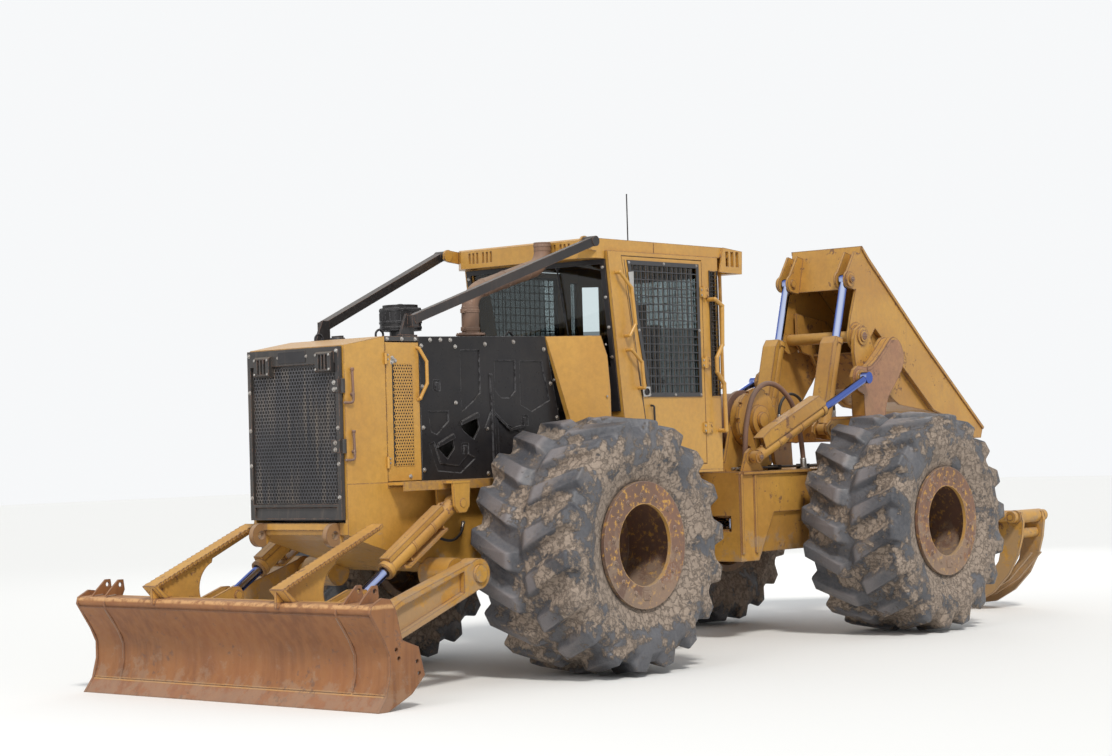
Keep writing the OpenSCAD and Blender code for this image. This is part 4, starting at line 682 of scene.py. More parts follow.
def smoothPath(points, steps=8):
    # a soft curve through all the points
    points = [Vector(p) for p in points]
    points = [2 * points[0] - points[1]] + points + [2 * points[-1] - points[-2]]
    path = []
    for a, b, c, d in zip(points, points[1:], points[2:], points[3:]):
        square, cube = 2 * a - 5 * b + 4 * c - d, 3 * b - a - 3 * c + d
        for t in (i / steps for i in range(steps)):
            path.append(0.5 * (2 * b + (c - a) * t + square * t * t + cube * t ** 3))
    return path + [points[-2]]


def turned(centre, direction, profile, sides=24):
    # profile gives (radius, distance along the direction)
    ahead, side, third = frameOf(direction)
    points = []
    for radius, along in profile:
        points += circle(Vector(centre) + ahead * along, radius, side, third, sides)
    return skinned(points, sides)


def sized(profile, size):
    return [(size * radius, size * along) for radius, along in profile]


def band(centre, direction, inner, outer, width, sides=28):
    # a flat ring with an open bore and eased outer edges
    ease = min(0.002, 0.4 * (outer - inner))
    profile = [(inner, 0), (outer - ease, 0), (outer, ease), (outer, width - ease), (outer - ease, width),
               (inner, width), (inner, 0)]
    points, faces = turned(centre, direction, profile, sides)
    return points, faces[:-2]


def block(low, high):
    x, y, z = zip(low, high)
    points = [(x[i], y[j], z[k]) for i in (0, 1) for j in (0, 1) for k in (0, 1)]
    return points, [(0, 1, 3, 2), (4, 6, 7, 5), (0, 4, 5, 1), (2, 3, 7, 6), (0, 2, 6, 4), (1, 5, 7, 3)]


def sideBlock(side, low, high):
    # a block on the left side (side 1) or on the right (side -1)
    near, far = sorted((side * low[1], side * high[1]))
    return block(at(low[0], near, low[2]), at(high[0], far, high[2]))


def plate(outline, low, high, axis="y"):
    # an outline drawn out along y, or along x
    points = [(a, depth, b) if axis == "y" else (depth, a, b) for depth in (low, high) for a, b in outline]
    count = len(outline)
    faces = [tuple(range(count))[::-1], tuple(range(count, 2 * count))]
    return points, faces + [(i, (i + 1) % count, count + (i + 1) % count, count + i) for i in range(count)]


def outlineAt(outline):
    return [(at(x, 0, 0).x, z) for x, z in outline]


boltHead = [(0.80, 0.10), (0.88, 0.24), (0.88, 0.68), (0.72, 0.80)]
hoseEnd = {"sleeve": [(1.25, 0.0), (1.25, 3.2), (1.05, 3.6)],
           "nut": [(1.45, 0), (1.6, 0.2), (1.6, 1.3), (1.45, 1.5)]}


def bolt(place, direction, size=0.016, washer=True):
    # hexagon head with its chamfer, on a washer
    shapes = [turned(place, direction, sized(boltHead, size), 6)]
    if washer:
        disc = [(size * 1.25, -0.001), (size * 1.25, size * 0.10), (size * 1.15, size * 0.16)]
        shapes.append(turned(place, direction, disc, 14))
    return shapes


def bolts(places, direction, size, washer=True):
    return [shape for place in places for shape in bolt(place, direction, size, washer)]


def fitting(place, direction, radius):
    # swaged hose end with its hexagon nut
    behind = Vector(place) - Vector(direction).normalized() * radius * 1.5
    return [turned(place, direction, sized(hoseEnd["sleeve"], radius), 14),
            turned(behind, direction, sized(hoseEnd["nut"], radius), 6)]


def weld(points, radius=0.006, seed=1):
    # a ripple of weld metal along a seam
    dice = random.Random(seed)
    path = []
    for a, b in zip(points, points[1:]):
        a, b = Vector(a), Vector(b)
        steps = max(2, int((b - a).length / (radius * 1.6)))
        path += [a.lerp(b, i / steps) for i in range(steps)]
    path.append(Vector(points[-1]))
    radii = [radius * (0.86 + 0.22 * (i % 2) + 0.12 * dice.random()) for i in range(len(path))]
    return tube(path, radii, 6)


# rows of six-sided cells stand this share of their pitch apart
rowShare = 0.866


def holedSheet(corner, along, up, width, height, pitch, hole, sides, depth):
    # a sheet of six-sided cells, each with a hole; along and up are unit vectors of its plane
    corner, along, up = Vector(corner), Vector(along), Vector(up)
    normal = along.cross(up)
    points, faces = [], []
    for row in range(int(height / (pitch * rowShare))):
        for column in range(int(width / pitch) - row % 2):
            middle = corner + along * pitch * (column + 0.5 + 0.5 * (row % 2))
            middle += up * pitch * rowShare * (row + 0.5)
            start = len(points)
            for level in (0.0, depth):
                for ring in (0, 1):
                    for k in range(sides):
                        turn = math.pi * 2 * (k + 0.5 * (sides == 6)) / sides
                        sector = (turn + math.pi / 6) % (math.pi / 3) - math.pi / 6
                        reach = hole if ring else pitch * 0.5 / math.cos(sector)
                        points.append(middle + normal * level
                                      + reach * (math.cos(turn) * along + math.sin(turn) * up))
            back, front = start, start + 2 * sides
            for k in range(sides):
                n = (k + 1) % sides
                faces.append((front + k, front + n, front + sides + n, front + sides + k))
                faces.append((back + k, back + sides + k, back + sides + n, back + n))
                faces.append((front + sides + k, front + sides + n, back + sides + n, back + sides + k))
    return points, faces


# Front screen: the hexagon mesh, lamps behind their guards, bolts and bent hinge pins

screen = {"pitch": 0.027, "hole": 0.0106, "low": 1.262, "high": 2.182, "half": 0.408, "station": 1.8185,
          "lampPlaces": ((-0.275, 2.118), (0.330, 2.128)), "lampBolt": 0.011,
          "lens": [(0.045, 0), (0.045, 0.004), (0.02, 0.006)],
          "mirror": [(0.050, 0), (0.050, 0.008), (0.046, 0.008), (0.044, 0.001)],
          "bolts": {0.012: [(1.837, y, z) for y in (-0.43, 0.43) for z in (1.30, 1.52, 1.76, 2.02, 2.27)],
                    0.013: [(1.845, 0.41, z) for z in (1.615, 1.66, 2.015, 2.06)],
                    0.009: [(1.837, y, 2.245) for y in (-0.14, 0.14)]},
          "plate": [(-0.135, 2.205), (0.135, 2.205), (0.135, 2.285), (-0.135, 2.285)],
          "pins": ((2.139, 1.925), (1.725, 1.545)), "pinRadius": 0.0085,
          "pinHead": [(0.010, 0), (0.013, 0.004), (0.013, 0.018), (0.009, 0.022)]}


def makeScreen():
    ahead, half, low, high = (1, 0, 0), screen["half"], screen["low"], screen["high"]
    sheet = holedSheet(at(screen["station"], -half, low), (0, 1, 0), (0, 0, 1), 2 * half, high - low,
                       screen["pitch"], screen["hole"], 6, 0.003)
    addPiece("screenMesh", "screen", "meshBlack", [sheet])
    heads, lenses, mirrors = [], [], []
    for y, z in screen["lampPlaces"]:
        spots = [at(1.867, y + side, z + up) for side in (-0.064, 0.064) for up in (0.022, 0.118)]
        heads += bolts(spots, ahead, screen["lampBolt"], False)
        lenses.append(turned(at(1.838, y, z + 0.07), ahead, screen["lens"]))
        mirrors.append(turned(at(1.8367, y, z + 0.07), ahead, screen["mirror"]))
    for size, places in screen["bolts"].items():
        heads += bolts([at(*place) for place in places], ahead, size)
    addPiece("screenBolts", "screen", "zincSteel", heads)
    back, front = (at(x, 0, 0).x for x in (1.836, 1.841))
    addPiece("screenPlate", "screen", "blackPaint", [plate(screen["plate"], back, front, "x")], round=0.004)
    addPiece("frontLampRings", "screen", "mirror", mirrors)
    addPiece("frontLampLenses", "screen", "lens", lenses)
    hinges = []
    for top, foot in screen["pins"]:
        route = ((1.742, 0.482, top), (1.738, 0.483, foot + 0.05), (1.741, 0.483, foot + 0.012),
                 (1.76, 0.483, foot), (1.812, 0.4685, foot))
        hinges.append(tube(smoothPath([at(*p) for p in route], 6), screen["pinRadius"], 8))
        hinges.append(turned(at(1.742, 0.482, top - 0.004), (0, 0, 1), screen["pinHead"]))
        hinges.append(tube([at(1.739, y, foot + 0.055) for y in (0.458, 0.488)], 0.012, 8))
    addPiece("screenPins", "front_body", "oldIron", hinges)


# Service doors: round holes punched in a panel, quarter-turn bolts

service = {"pitch": 0.0235, "hole": 0.0064, "low": (1.157, 1.492), "size": (0.205, 0.70), "face": 0.463,
           "turnBolts": ((1.346, 2.224), (1.322, 2.206), (1.352, 2.196), (1.199, 1.419)),
           "hingeBolts": (1.515, 1.545, 2.215, 2.245)}


def makeServiceDoors():
    x0, z0 = service["low"]
    for side, body in ((1, "left_service"), (-1, "right_service")):
        face = service["face"] * side
        sheet = holedSheet(at(x0, face + side * 0.0022, z0), (1, 0, 0), (0, 0, 1), *service["size"],
                           service["pitch"], service["hole"], 12, -0.0016 * side)
        addPiece(body + "Holes", body, "goldPaint", [sheet])
        # a near-black sheet just behind the holes: painted shade of the bay seen through them
        back = sideBlock(side, (x0 + 0.004, service["face"], z0 + 0.002),
                         (x0 + 0.196, service["face"] + 0.0006, z0 + 0.688))
        addPiece(body + "Dark", body, "holeShadeSheet", [back])
        heads = bolts([at(x, face, z) for x, z in service["turnBolts"]], (0, side, 0), 0.013)
        hinge = [at(1.402, face + side * 0.0122, z) for z in service["hingeBolts"]]
        addPiece(body + "Bolts", body, "zincSteel", heads + bolts(hinge, (0, side, 0), 0.008, False))


# Bolts of the engine panels, the hood rail and the cab

panelBolts = {"side": ((0.975, 2.352), (0.873, 2.354), (0.774, 2.354), (0.726, 2.308), (0.734, 1.917),
                       (1.063, 1.749), (0.42, 1.734), (-0.206, 2.301), (-0.269, 2.053), (-0.332, 1.805),
                       (1.063, 2.03), (1.063, 1.46), (0.42, 1.42), (-0.35, 1.45), (0.12, 2.35), (0.42, 2.33),
                       (1.063, 2.31)),
              "rail": ((1.39, 2.353), (1.25, 2.354), (1.12, 2.355)), "face": 0.463,
              "windscreen": (2.9, 2.68, 2.46, 2.24), "lean": (1, 0, 0.12),
              "cowl": [(x, y, z) for y in (0.08, 0.33, 0.56) for x, z in ((-0.748, 2.092), (-0.776, 1.875))],
              "pillar": (2.33, 1.95, 1.60)}


def makePanelBolts():
    lean = panelBolts["lean"]
    left = bolts([at(x, panelBolts["face"], z) for x, z in panelBolts["side"]], (0, 1, 0), 0.013)
    left += bolts([at(x, panelBolts["face"], z) for x, z in panelBolts["rail"]], (0, 1, 0), 0.012)
    screenEdge = [at(-0.640 - (2.96 - z) * 0.1223 + 0.001, 0.672, z) for z in panelBolts["windscreen"]]
    left += bolts(screenEdge, lean, 0.011)
    left += bolts([at(*place) for place in panelBolts["cowl"]], lean, 0.011)
    left += bolts([at(-0.62, 0.7, z) for z in panelBolts["pillar"]], (0, 1, 0), 0.010, False)
    addPiece("panelBolts", "front_body", "zincSteel", left + mirrored(left))


# Wheels: the ring of rim bolts, the hub nuts and cap, the valve and the balance weight

wheelParts = {"face": 1.525, "ring": 0.345, "bolts": 14, "boltShift": 0.3, "disc": 1.060, "nutRing": 0.225,
              "nuts": 12, "stud": [(0.010, 0), (0.010, 0.012), (0.007, 0.014)], "hub": 1.135, "height": 0.9,
              "cap": [(0.085, 0), (0.085, 0.012), (0.078, 0.018), (0.03, 0.020)], "capRing": 0.115,
              "capBolts": 6, "valve": ((1.07, -0.30), (1.14, -0.296), (1.17, -0.27)), "valveRadius": 0.008,
              "weight": ((-0.035, 1.5251, -0.375), (0.035, 1.531, -0.315))}


def wheelShapes(station, side):
    out, height = (0, side, 0), wheelParts["height"]
    shapes = []
    shift = 2 * math.pi * wheelParts["boltShift"] / wheelParts["bolts"]
    for x, z in ringSpots(wheelParts["bolts"], wheelParts["ring"], shift):
        shapes += bolt(at(station + x, side * wheelParts["face"], height + z), out, 0.015)
    for x, z in ringSpots(wheelParts["nuts"], wheelParts["nutRing"]):
        shapes += bolt(at(station + x, side * wheelParts["disc"], height + z), out, 0.021)
        tip = at(station + x, side * (wheelParts["disc"] + 0.014), height + z)
        shapes.append(turned(tip, out, wheelParts["stud"], 10))
    hub = at(station, side * wheelParts["hub"], height)
    shapes.append(turned(hub, out, wheelParts["cap"], 28))
    for x, z in ringSpots(wheelParts["capBolts"], wheelParts["capRing"], math.pi / wheelParts["capBolts"]):
        shapes += bolt(hub + Vector((x, 0, z)), out, 0.011, False)
    stem = [at(station + 0.03, side * y, height + z) for y, z in wheelParts["valve"]]
    shapes.append(tube(smoothPath(stem, 4), wheelParts["valveRadius"], 8))
    low, high = ((station + x, y, height + z) for x, y, z in wheelParts["weight"])
    return shapes + [sideBlock(side, low, high)]


def makeWheelParts():
    for end, station in (("front", 0.0), ("rear", rearAxle)):
        for name, side in (("left", 1), ("right", -1)):
            addPiece(end + name.capitalize() + "WheelBolts", "wheel_" + end + "_" + name, "oldIron",
                     wheelShapes(station, side))


# Cab: door locks, hinge brackets, guards of the rear windows, wiper, visor lamps and rubber seals

cab = {"hingeHeights": (1.66, 2.16, 2.70), "strapBolts": (0.022, 0.062), "rear": -2.1555,
       "rearWindow": ((-0.45, 1.93), (0.45, 2.95)), "sideWindow": ((-1.955, 1.95), (-1.868, 2.91)),
       "lampPlaces": (0.319, 0.459), "lampHeight": 3.039,
       "lens": [(0.036, 0), (0.036, 0.006), (0.030, 0.012), (0.012, 0.014)],
       "ring": [(0.043, 0), (0.043, 0.014), (0.037, 0.014), (0.034, 0.004)]}
door = {"lock": [(-1.092, 2.020), (-1.090, 1.948), (-1.010, 1.944), (-0.996, 2.018)],
        "strike": [(-0.934, 2.876), (-0.934, 2.712), (-0.902, 2.708), (-0.872, 2.868)],
        "button": [(0.026, 0), (0.026, 0.006), (0.020, 0.010), (0.020, 0.002)],
        "handle": ((-1.105, 0.722, 1.88), (-1.102, 0.752, 1.872), (-1.100, 0.756, 1.84),
                   (-1.104, 0.756, 1.72), (-1.108, 0.752, 1.69), (-1.111, 0.722, 1.682)),
        "guardBolts": ((-0.886, 2.94), (-1.30, 2.944), (-1.70, 2.944), (-1.716, 2.45), (-1.714, 1.958),
                       (-1.40, 1.958), (-1.09, 1.960), (-0.985, 2.44)),
        "seal": ((-0.84, 0.716, 2.96), (-1.035, 0.716, 1.81), (-1.081, 0.716, 1.45))}
wiper = {"top": (-0.668, 0.22, 2.93), "lean": (0.1223, 0, 1),
         "motor": [(0.022, 0), (0.022, 0.014), (0.014, 0.02)]}


def guardBars(low, high, axis, depth, pitch, radius):
    # a welded wire grid in the plane x = depth or y = depth
    def spot(a, b, lift):
        return at(depth + lift, a, b) if axis == "x" else at(a, depth + lift, b)

    shapes = []
    a, b = low
    while a <= high[0] + 1e-6:
        shapes.append(tube([spot(a, low[1], 0), spot(a, high[1], 0)], radius, 6))
        a += pitch
    while b <= high[1] + 1e-6:
        shapes.append(tube([spot(low[0], b, radius * 1.6), spot(high[0], b, radius * 1.6)], radius, 6))
        b += pitch
    return shapes


def makeDoorParts(side, body):
    # lock plate with its sunk button handle, and the upper striker strip
    out = (0, side, 0)
    plates = [plate(outlineAt(door[name]), *sorted((side * low, side * high)))
              for name, low, high in (("lock", 0.7290, 0.7330), ("strike", 0.7283, 0.7325))]
    addPiece(body + "LockPlates", body, "zincSteel", plates, round=0.001)
    handle = smoothPath([at(x, side * y, z) for x, y, z in door["handle"]], 5)
    grip = [turned(at(-1.050, side * 0.733, 1.982), out, door["button"], 20), tube(handle, 0.008, 8)]
    addPiece(body + "Handle", body, "blackPaint", grip)
    screws = bolts([at(x, side * 0.7283, z) for x, z in door["guardBolts"]], out, 0.009)
    addPiece(body + "GuardBolts", body, "zincSteel", screws)
    # rubber seal that stands a little out of the door gap
    seal = tube([at(x, side * y, z) for x, y, z in door["seal"]], 0.006, 6)
    addPiece(body + "Seal", body, "hose", [seal])


def makeWindowGuards():
    rear = cab["rear"]
    bars = guardBars(*cab["rearWindow"], "x", rear - 0.014, 0.060, 0.004)
    corners = ((-0.46, 1.92, 0.46, 1.92), (-0.46, 2.96, 0.46, 2.96), (-0.46, 1.92, -0.46, 2.96),
               (0.46, 1.92, 0.46, 2.96))
    for y0, z0, y1, z1 in corners:
        bars.append(tube([at(rear - 0.012, y0, z0), at(rear - 0.012, y1, z1)], 0.012, 8))
    for side in (1, -1):
        bars += guardBars(*cab["sideWindow"], "y", side * 0.7265, 0.0290, 0.0025)
        for x in (-0.048, 0.048):
            bars.append(tube([at(-1.912 + x, side * 0.7245, z) for z in (1.945, 2.915)], 0.006, 6))
    addPiece("windowGuards", "front_body", "blackPaint", bars)


def makeCabParts():
    brackets, straps = [], {1: [], -1: []}
    for z in cab["hingeHeights"]:
        for side in (1, -1):
            brackets.append(sideBlock(side, (-1.842, 0.7203, z + 0.004), (-1.794, 0.7343, z + 0.086)))
            for up in cab["strapBolts"]:
                brackets += bolt(at(-1.826, side * 0.7345, z + up), (0, side, 0), 0.010)
                straps[side] += bolt(at(-1.748, side * 0.7345, z + up), (0, side, 0), 0.009, False)
    addPiece("hingeBrackets", "front_body", "goldPaint", brackets, round=0.002)
    for side, body in ((1, "left_cab_door"), (-1, "right_cab_door")):
        addPiece(body + "HingeBolts", body, "zincSteel", straps[side])
        makeDoorParts(side, body)
    makeWindowGuards()
    spots = [(side * y, cab["lampHeight"]) for y in cab["lampPlaces"] for side in (1, -1)]
    lamps = [turned(at(-0.512, y, z), (1, 0, 0), cab["lens"], 20) for y, z in spots]
    rings = [turned(at(-0.5200, y, z), (1, 0, 0), cab["ring"], 20) for y, z in spots]
    addPiece("visorLenses", "front_body", "lens", lamps)
    addPiece("visorRings", "front_body", "mirror", rings)
    # wiper that hangs from the windscreen's top edge
    lean, top = Vector(wiper["lean"]).normalized(), at(*wiper["top"])
    arm = [top + Vector((0.012, 0, 0)), top + Vector((0.014, 0.03, 0)) - lean * 0.42]
    blade = [top + Vector((0.009, 0.02, 0)) - lean * 0.16, top + Vector((0.009, 0.045, 0)) - lean * 0.64]
    motor = turned(top - Vector((0.004, 0, 0)), (1, 0, 0), wiper["motor"], 14)
    addPiece("wiper", "front_body", "mouldedBlack", [tube(arm, 0.006, 8), motor, tube(blade, 0.0055, 6)])


# Operator's seat and hand controls, as far as they show through the windows

seat = {"cushion": ((-1.53, 0, 1.88), (0.52, 0.50, 0.11), 0.025, 0),
        "back": ((-1.715, 0, 2.20), (0.62, 0.46, 0.11), 0.02, 97),
        "headRest": ((-1.79, 0, 2.60), (0.17, 0.28, 0.09), 0.012, 97), "arm": 0.345,
        "stick": ((-1.38, 1.94), (-1.375, 2.03), (-1.36, 2.07)),
        "stickRadii": [0.022] * 3 + [0.012] * 3 + [0.016] * 3,
        "knob": [(0.018, 0), (0.026, 0.03), (0.026, 0.075), (0.014, 0.09)],
        "wheel": (-1.12, 0, 2.10), "wheelTilt": (-0.45, 0, 1), "wheelRadius": 0.19,
        "dash": [(-1.06, 1.95), (-0.96, 1.95), (-0.90, 2.06), (-0.93, 2.09), (-1.05, 2.03)]}


def cushionShape(middle, size, crown, lean=0.0, rows=14):
    # a crowned closed form whose sides pull in between its corners
    points, faces = [], []
    for level in (-1, 1):
        for i in range(rows + 1):
            for j in range(rows + 1):
                a, b = 2 * i / rows - 1, 2 * j / rows - 1
                edge = (1 - a ** 4) * (1 - b ** 4)
                groove = 0.10 * math.exp(-((abs(b) - 0.45) / 0.05) ** 2)
                x = a * size[0] / 2 * (1 - 0.03 * (1 - b * b))
                y = b * size[1] / 2 * (1 - 0.03 * (1 - a * a))
                z = level * (size[2] / 2) * (0.35 + 0.65 * edge ** 0.35)
                z += (crown * edge - groove * crown) * (level > 0)
                turn = Vector((x * math.cos(lean) - z * math.sin(lean), y,
                               x * math.sin(lean) + z * math.cos(lean)))
                points.append(Vector(middle) + turn)
    count = (rows + 1) ** 2
    for level in (0, 1):
        for i in range(rows):
            for j in range(rows):
                first = level * count + i * (rows + 1) + j
                faces.append((first, first + 1, first + rows + 2, first + rows + 1))
    rim = [i * (rows + 1) for i in range(rows)] + [rows * (rows + 1) + j for j in range(rows)]
    rim += [(rows - i) * (rows + 1) + rows for i in range(rows)] + [rows - j for j in range(rows)]
    for k, first in enumerate(rim):
        after = rim[(k + 1) % len(rim)]
        faces.append((first, after, count + after, count + first))
    return points, faces


def makeCabSeat():
    for name, part in (("seatCushion", "cushion"), ("seatBack", "back"), ("headRest", "headRest")):
        middle, size, crown, lean = seat[part]
        shape = cushionShape(at(*middle), size, crown, math.radians(lean))
        addPiece(name, "front_body", "cloth", [shape], 70)
    parts = [tube([at(-1.80, y, 2.50), at(-1.80, y, 2.56)], 0.008, 8) for y in (-0.06, 0.06)]
    for y in (seat["arm"], -seat["arm"]):
        parts.append(tube(smoothPath([at(x, y, z) for x, z in seat["stick"]], 4), seat["stickRadii"], 12))
        parts.append(turned(at(-1.362, y, 2.055), (0.15, 0, 1), seat["knob"], 14))
        parts.append(block(at(-1.70, y - 0.045, 2.045), at(-1.46, y + 0.045, 2.085)))
        parts.append(tube([at(-1.66, y, 1.94), at(-1.66, y, 2.05)], 0.015, 8))
    # steering wheel on its column, and the instrument hood
    centre, tilt = at(*seat["wheel"]), Vector(seat["wheelTilt"]).normalized()
    first, second = frameOf(tilt)[1:]
    ring = circle(centre, seat["wheelRadius"], first, second, 28)
    parts.append(tube(ring + ring[:1], 0.013, 8, False))
    for tip in circle(centre, seat["wheelRadius"] - 0.01, first, second, 3):
        parts.append(tube([centre - tilt * 0.02, tip], 0.010, 8))
    parts.append(tube([centre, centre - tilt * 0.16, at(-1.01, 0, 1.93)], 0.024, 12))
    parts.append(plate(outlineAt(seat["dash"]), -0.22, 0.22))
    addPiece("hardControls", "front_body", "mouldedBlack", parts, round=0.004)


# Hoses: routes given point by point

hoses = {"radius": 0.013, "thin": 0.0095, "pipe": 0.021,
         "joint": ((0.12, 1.40), (0.155, 1.425), (0.185, 1.405), (-0.12, 1.41), (-0.16, 1.43)),
         "deck": (0.33, 0.37, 0.41), "clamps": (-2.75, -3.15, -3.55),
         "archLoop": ((-4.05, 0.229, 1.768), (-4.055, 0.226, 1.86), (-4.10, 0.214, 1.95),
                      (-4.19, 0.194, 1.99), (-4.28, 0.172, 1.95), (-4.322, 0.160, 1.86),
                      (-4.325, 0.155, 1.787)),
         "liftLoop": ((1.08, 0.478, 1.10), (1.05, 0.496, 1.05), (0.97, 0.508, 0.99), (0.86, 0.510, 0.97),
                      (0.76, 0.496, 1.01), (0.71, 0.478, 1.08)),
         "reach": ((-2.62, 0.452, 1.362), (-2.625, 0.452, 1.50), (-2.66, 0.450, 1.74), (-2.76, 0.446, 1.95),
                   (-2.93, 0.442, 2.05), (-3.12, 0.440, 2.03), (-3.29, 0.444, 1.90), (-3.38, 0.448, 1.70),
                   (-3.42, 0.450, 1.50), (-3.43, 0.451, 1.366))}


def makeHose(name, body, route, radius, blendTo=None, surface="hose"):
    path = smoothPath([at(*p) for p in route], 7)
    piece = addPiece(name, None if blendTo else body, surface, [tube(path, radius, 12)], 80)
    if blendTo:
        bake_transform(piece)
    addPiece(name + "Start", body, "zincSteel", fitting(path[0], path[1] - path[0], radius))
    addPiece(name + "End", blendTo or body, "zincSteel", fitting(path[-1], path[-2] - path[-1], radius))


def makeHoses():
    # bundle over the centre joint
    for k, (y, z) in enumerate(hoses["joint"]):
        route = [(-1.60, y, z), (-1.70, y, z + 0.005), (-1.82, y * 1.05, z + 0.03),
                 (-1.98, y * 1.1, z + 0.05), (-2.14, y * 1.1, z + 0.03), (-2.30, y * 1.05, z - 0.01),
                 (-2.42, y, 1.372), (-2.50, y, 1.366)]
        radius = hoses["thin" if k % 2 else "radius"]
        makeHose("jointHose" + str(k + 1), "front_body", route, radius, "rear_body")
    # loops at the foot of the boom cylinders, and below the blade cylinders
    for side, name in ((1, "left"), (-1, "right")):
        loops = [[(x, side * y, z) for x, y, z in hoses[loop]] for loop in ("archLoop", "liftLoop")]
        makeHose(name + "ArchHose", "arch_body", loops[0], hoses["radius"])
        makeHose(name + "LiftHose", "front_body", loops[1], hoses["thin"])
    makeHose("reachHose", "rear_body", hoses["reach"], hoses["pipe"], surface="oldIron")
    # lines along the deck to the winch and the arch
    for k, y in enumerate(hoses["deck"]):
        route = [(-2.62, y, 1.372), (-2.74, y, 1.376), (-2.95, y + 0.005, 1.374), (-3.30, y, 1.377),
                 (-3.60, y - 0.01, 1.374), (-3.85, y - 0.03, 1.378), (-4.05, y - 0.05, 1.374)]
        makeHose("deckHose" + str(k + 1), "rear_body", route, hoses["thin"])
    clamps = [block(at(x, 0.31, 1.3505), at(x + 0.03, 0.43, 1.392)) for x in hoses["clamps"]]
    addPiece("deckClamps", "rear_body", "blackPaint", clamps, round=0.003)


# Cylinders: glands with their bolts, ports, and hard pipes in their clips

cylinders = {"lift": {"base": (0.950, 1.230), "eye": (1.877, 0.640), "y": 0.620, "length": 0.800,
                      "radius": 0.055, "rise": 1, "body": "lift_barrels"},
             "arch": {"base": (-2.600, 1.463), "eye": (-4.200, 2.100), "y": 0.582, "length": 1.010,
                      "radius": 0.048, "rise": -1, "body": "arch_barrels"},
             "boom": {"base": (-3.955, 1.680), "eye": (-4.329, 2.956), "y": 0.300, "length": 0.800,
                      "radius": 0.055, "rise": 1, "body": "boom_barrels"}}


def cylinderLine(base, eye, y):
    ahead = Vector((eye[0] - base[0], 0, eye[1] - base[1])).normalized()
    up = Vector((-ahead.z, 0, ahead.x))
    start = at(base[0], y, base[1])
    return lambda t, u, v=0.0: start + ahead * t + up * u + Vector((0, v, 0))


def hardPipe(place, ahead, length, radius, rise):
    out = rise * (radius + 0.016)
    route = ((0.10, out * 0.6), (0.115, out), (0.16, out), (length * 0.5, out), (length - 0.16, out),
             (length - 0.10, out * 0.97), (length - 0.08, out * 0.7))
    shapes = [tube(smoothPath([place(*spot) for spot in route], 4), 0.009, 8)]
    for t in (0.28, length * 0.62):
        shapes.append(band(place(t, 0), ahead, radius - 0.001, radius + 0.004, 0.022))
        shapes.append(turned(place(t, out * 0.98), ahead, [(0.012, 0), (0.012, 0.022)], 10))
    port = [(0.017, 0), (0.017, 0.016), (0.012, 0.020)]
    for t in (0.10, length - 0.08):
        shapes.append(turned(place(t, rise * (radius - 0.006)), place(0, rise) - place(0, 0), port, 10))
    return shapes


def makeCylinderParts():
    for name, cylinder in cylinders.items():
        glands, pipes = [], []
        length, radius, rise = (cylinder[k] for k in ("length", "radius", "rise"))
        for side in (1, -1):
            place = cylinderLine(cylinder["base"], cylinder["eye"], side * cylinder["y"])
            ahead = place(1, 0) - place(0, 0)
            glands.append(band(place(length - 0.012, 0), ahead, radius - 0.014, radius + 0.004, 0.018))
            spots = [place(length, u, v) for u, v in ringSpots(8, radius - 0.004)]
            glands += bolts(spots, ahead, 0.0065, False)
            if name != "boom":
                pipes += hardPipe(place, ahead, length, radius, rise)
        addPiece(name + "Glands", cylinder["body"], "workedPaint" if pipes else "zincSteel", glands)
        if pipes:
            addPiece(name + "Pipes", cylinder["body"], "workedPaint", pipes)


# Exhaust clamps, precleaner bands, hood fittings and the filler cap

exhaust = {"foot": (0.400, 0.310), "bore": 0.0625, "footBands": (2.432, 2.560),
           "slope": ((0.2913, 0.310, 2.7342), (-0.2863, 0.310, 2.8998)), "slopeBands": (0.03, 0.26, 0.49),
           "flange": [(0.105, 0), (0.105, 0.010), (0.100, 0.014)], "flangeHeight": 2.3985, "boltRing": 0.094}
precleaner = {"x": 0.790, "bands": (2.452, 2.575), "bore": 0.1460, "ribs": 24, "ribRing": 0.1468,
              "ribSpan": (2.512, 2.568), "top": [(0.030, 0), (0.030, 0.004), (0.022, 0.010), (0.010, 0.012)]}
hoodTop = {"cap": [(0.055, 0), (0.055, 0.018), (0.050, 0.026), (0.018, 0.030)],
           "loops": ((1.30, 0.30), (1.30, -0.30), (0.05, 0.36), (0.05, -0.36)),
           "loop": ((-0.035, 2.370), (-0.032, 2.405), (0, 2.425), (0.032, 2.405), (0.035, 2.370))}


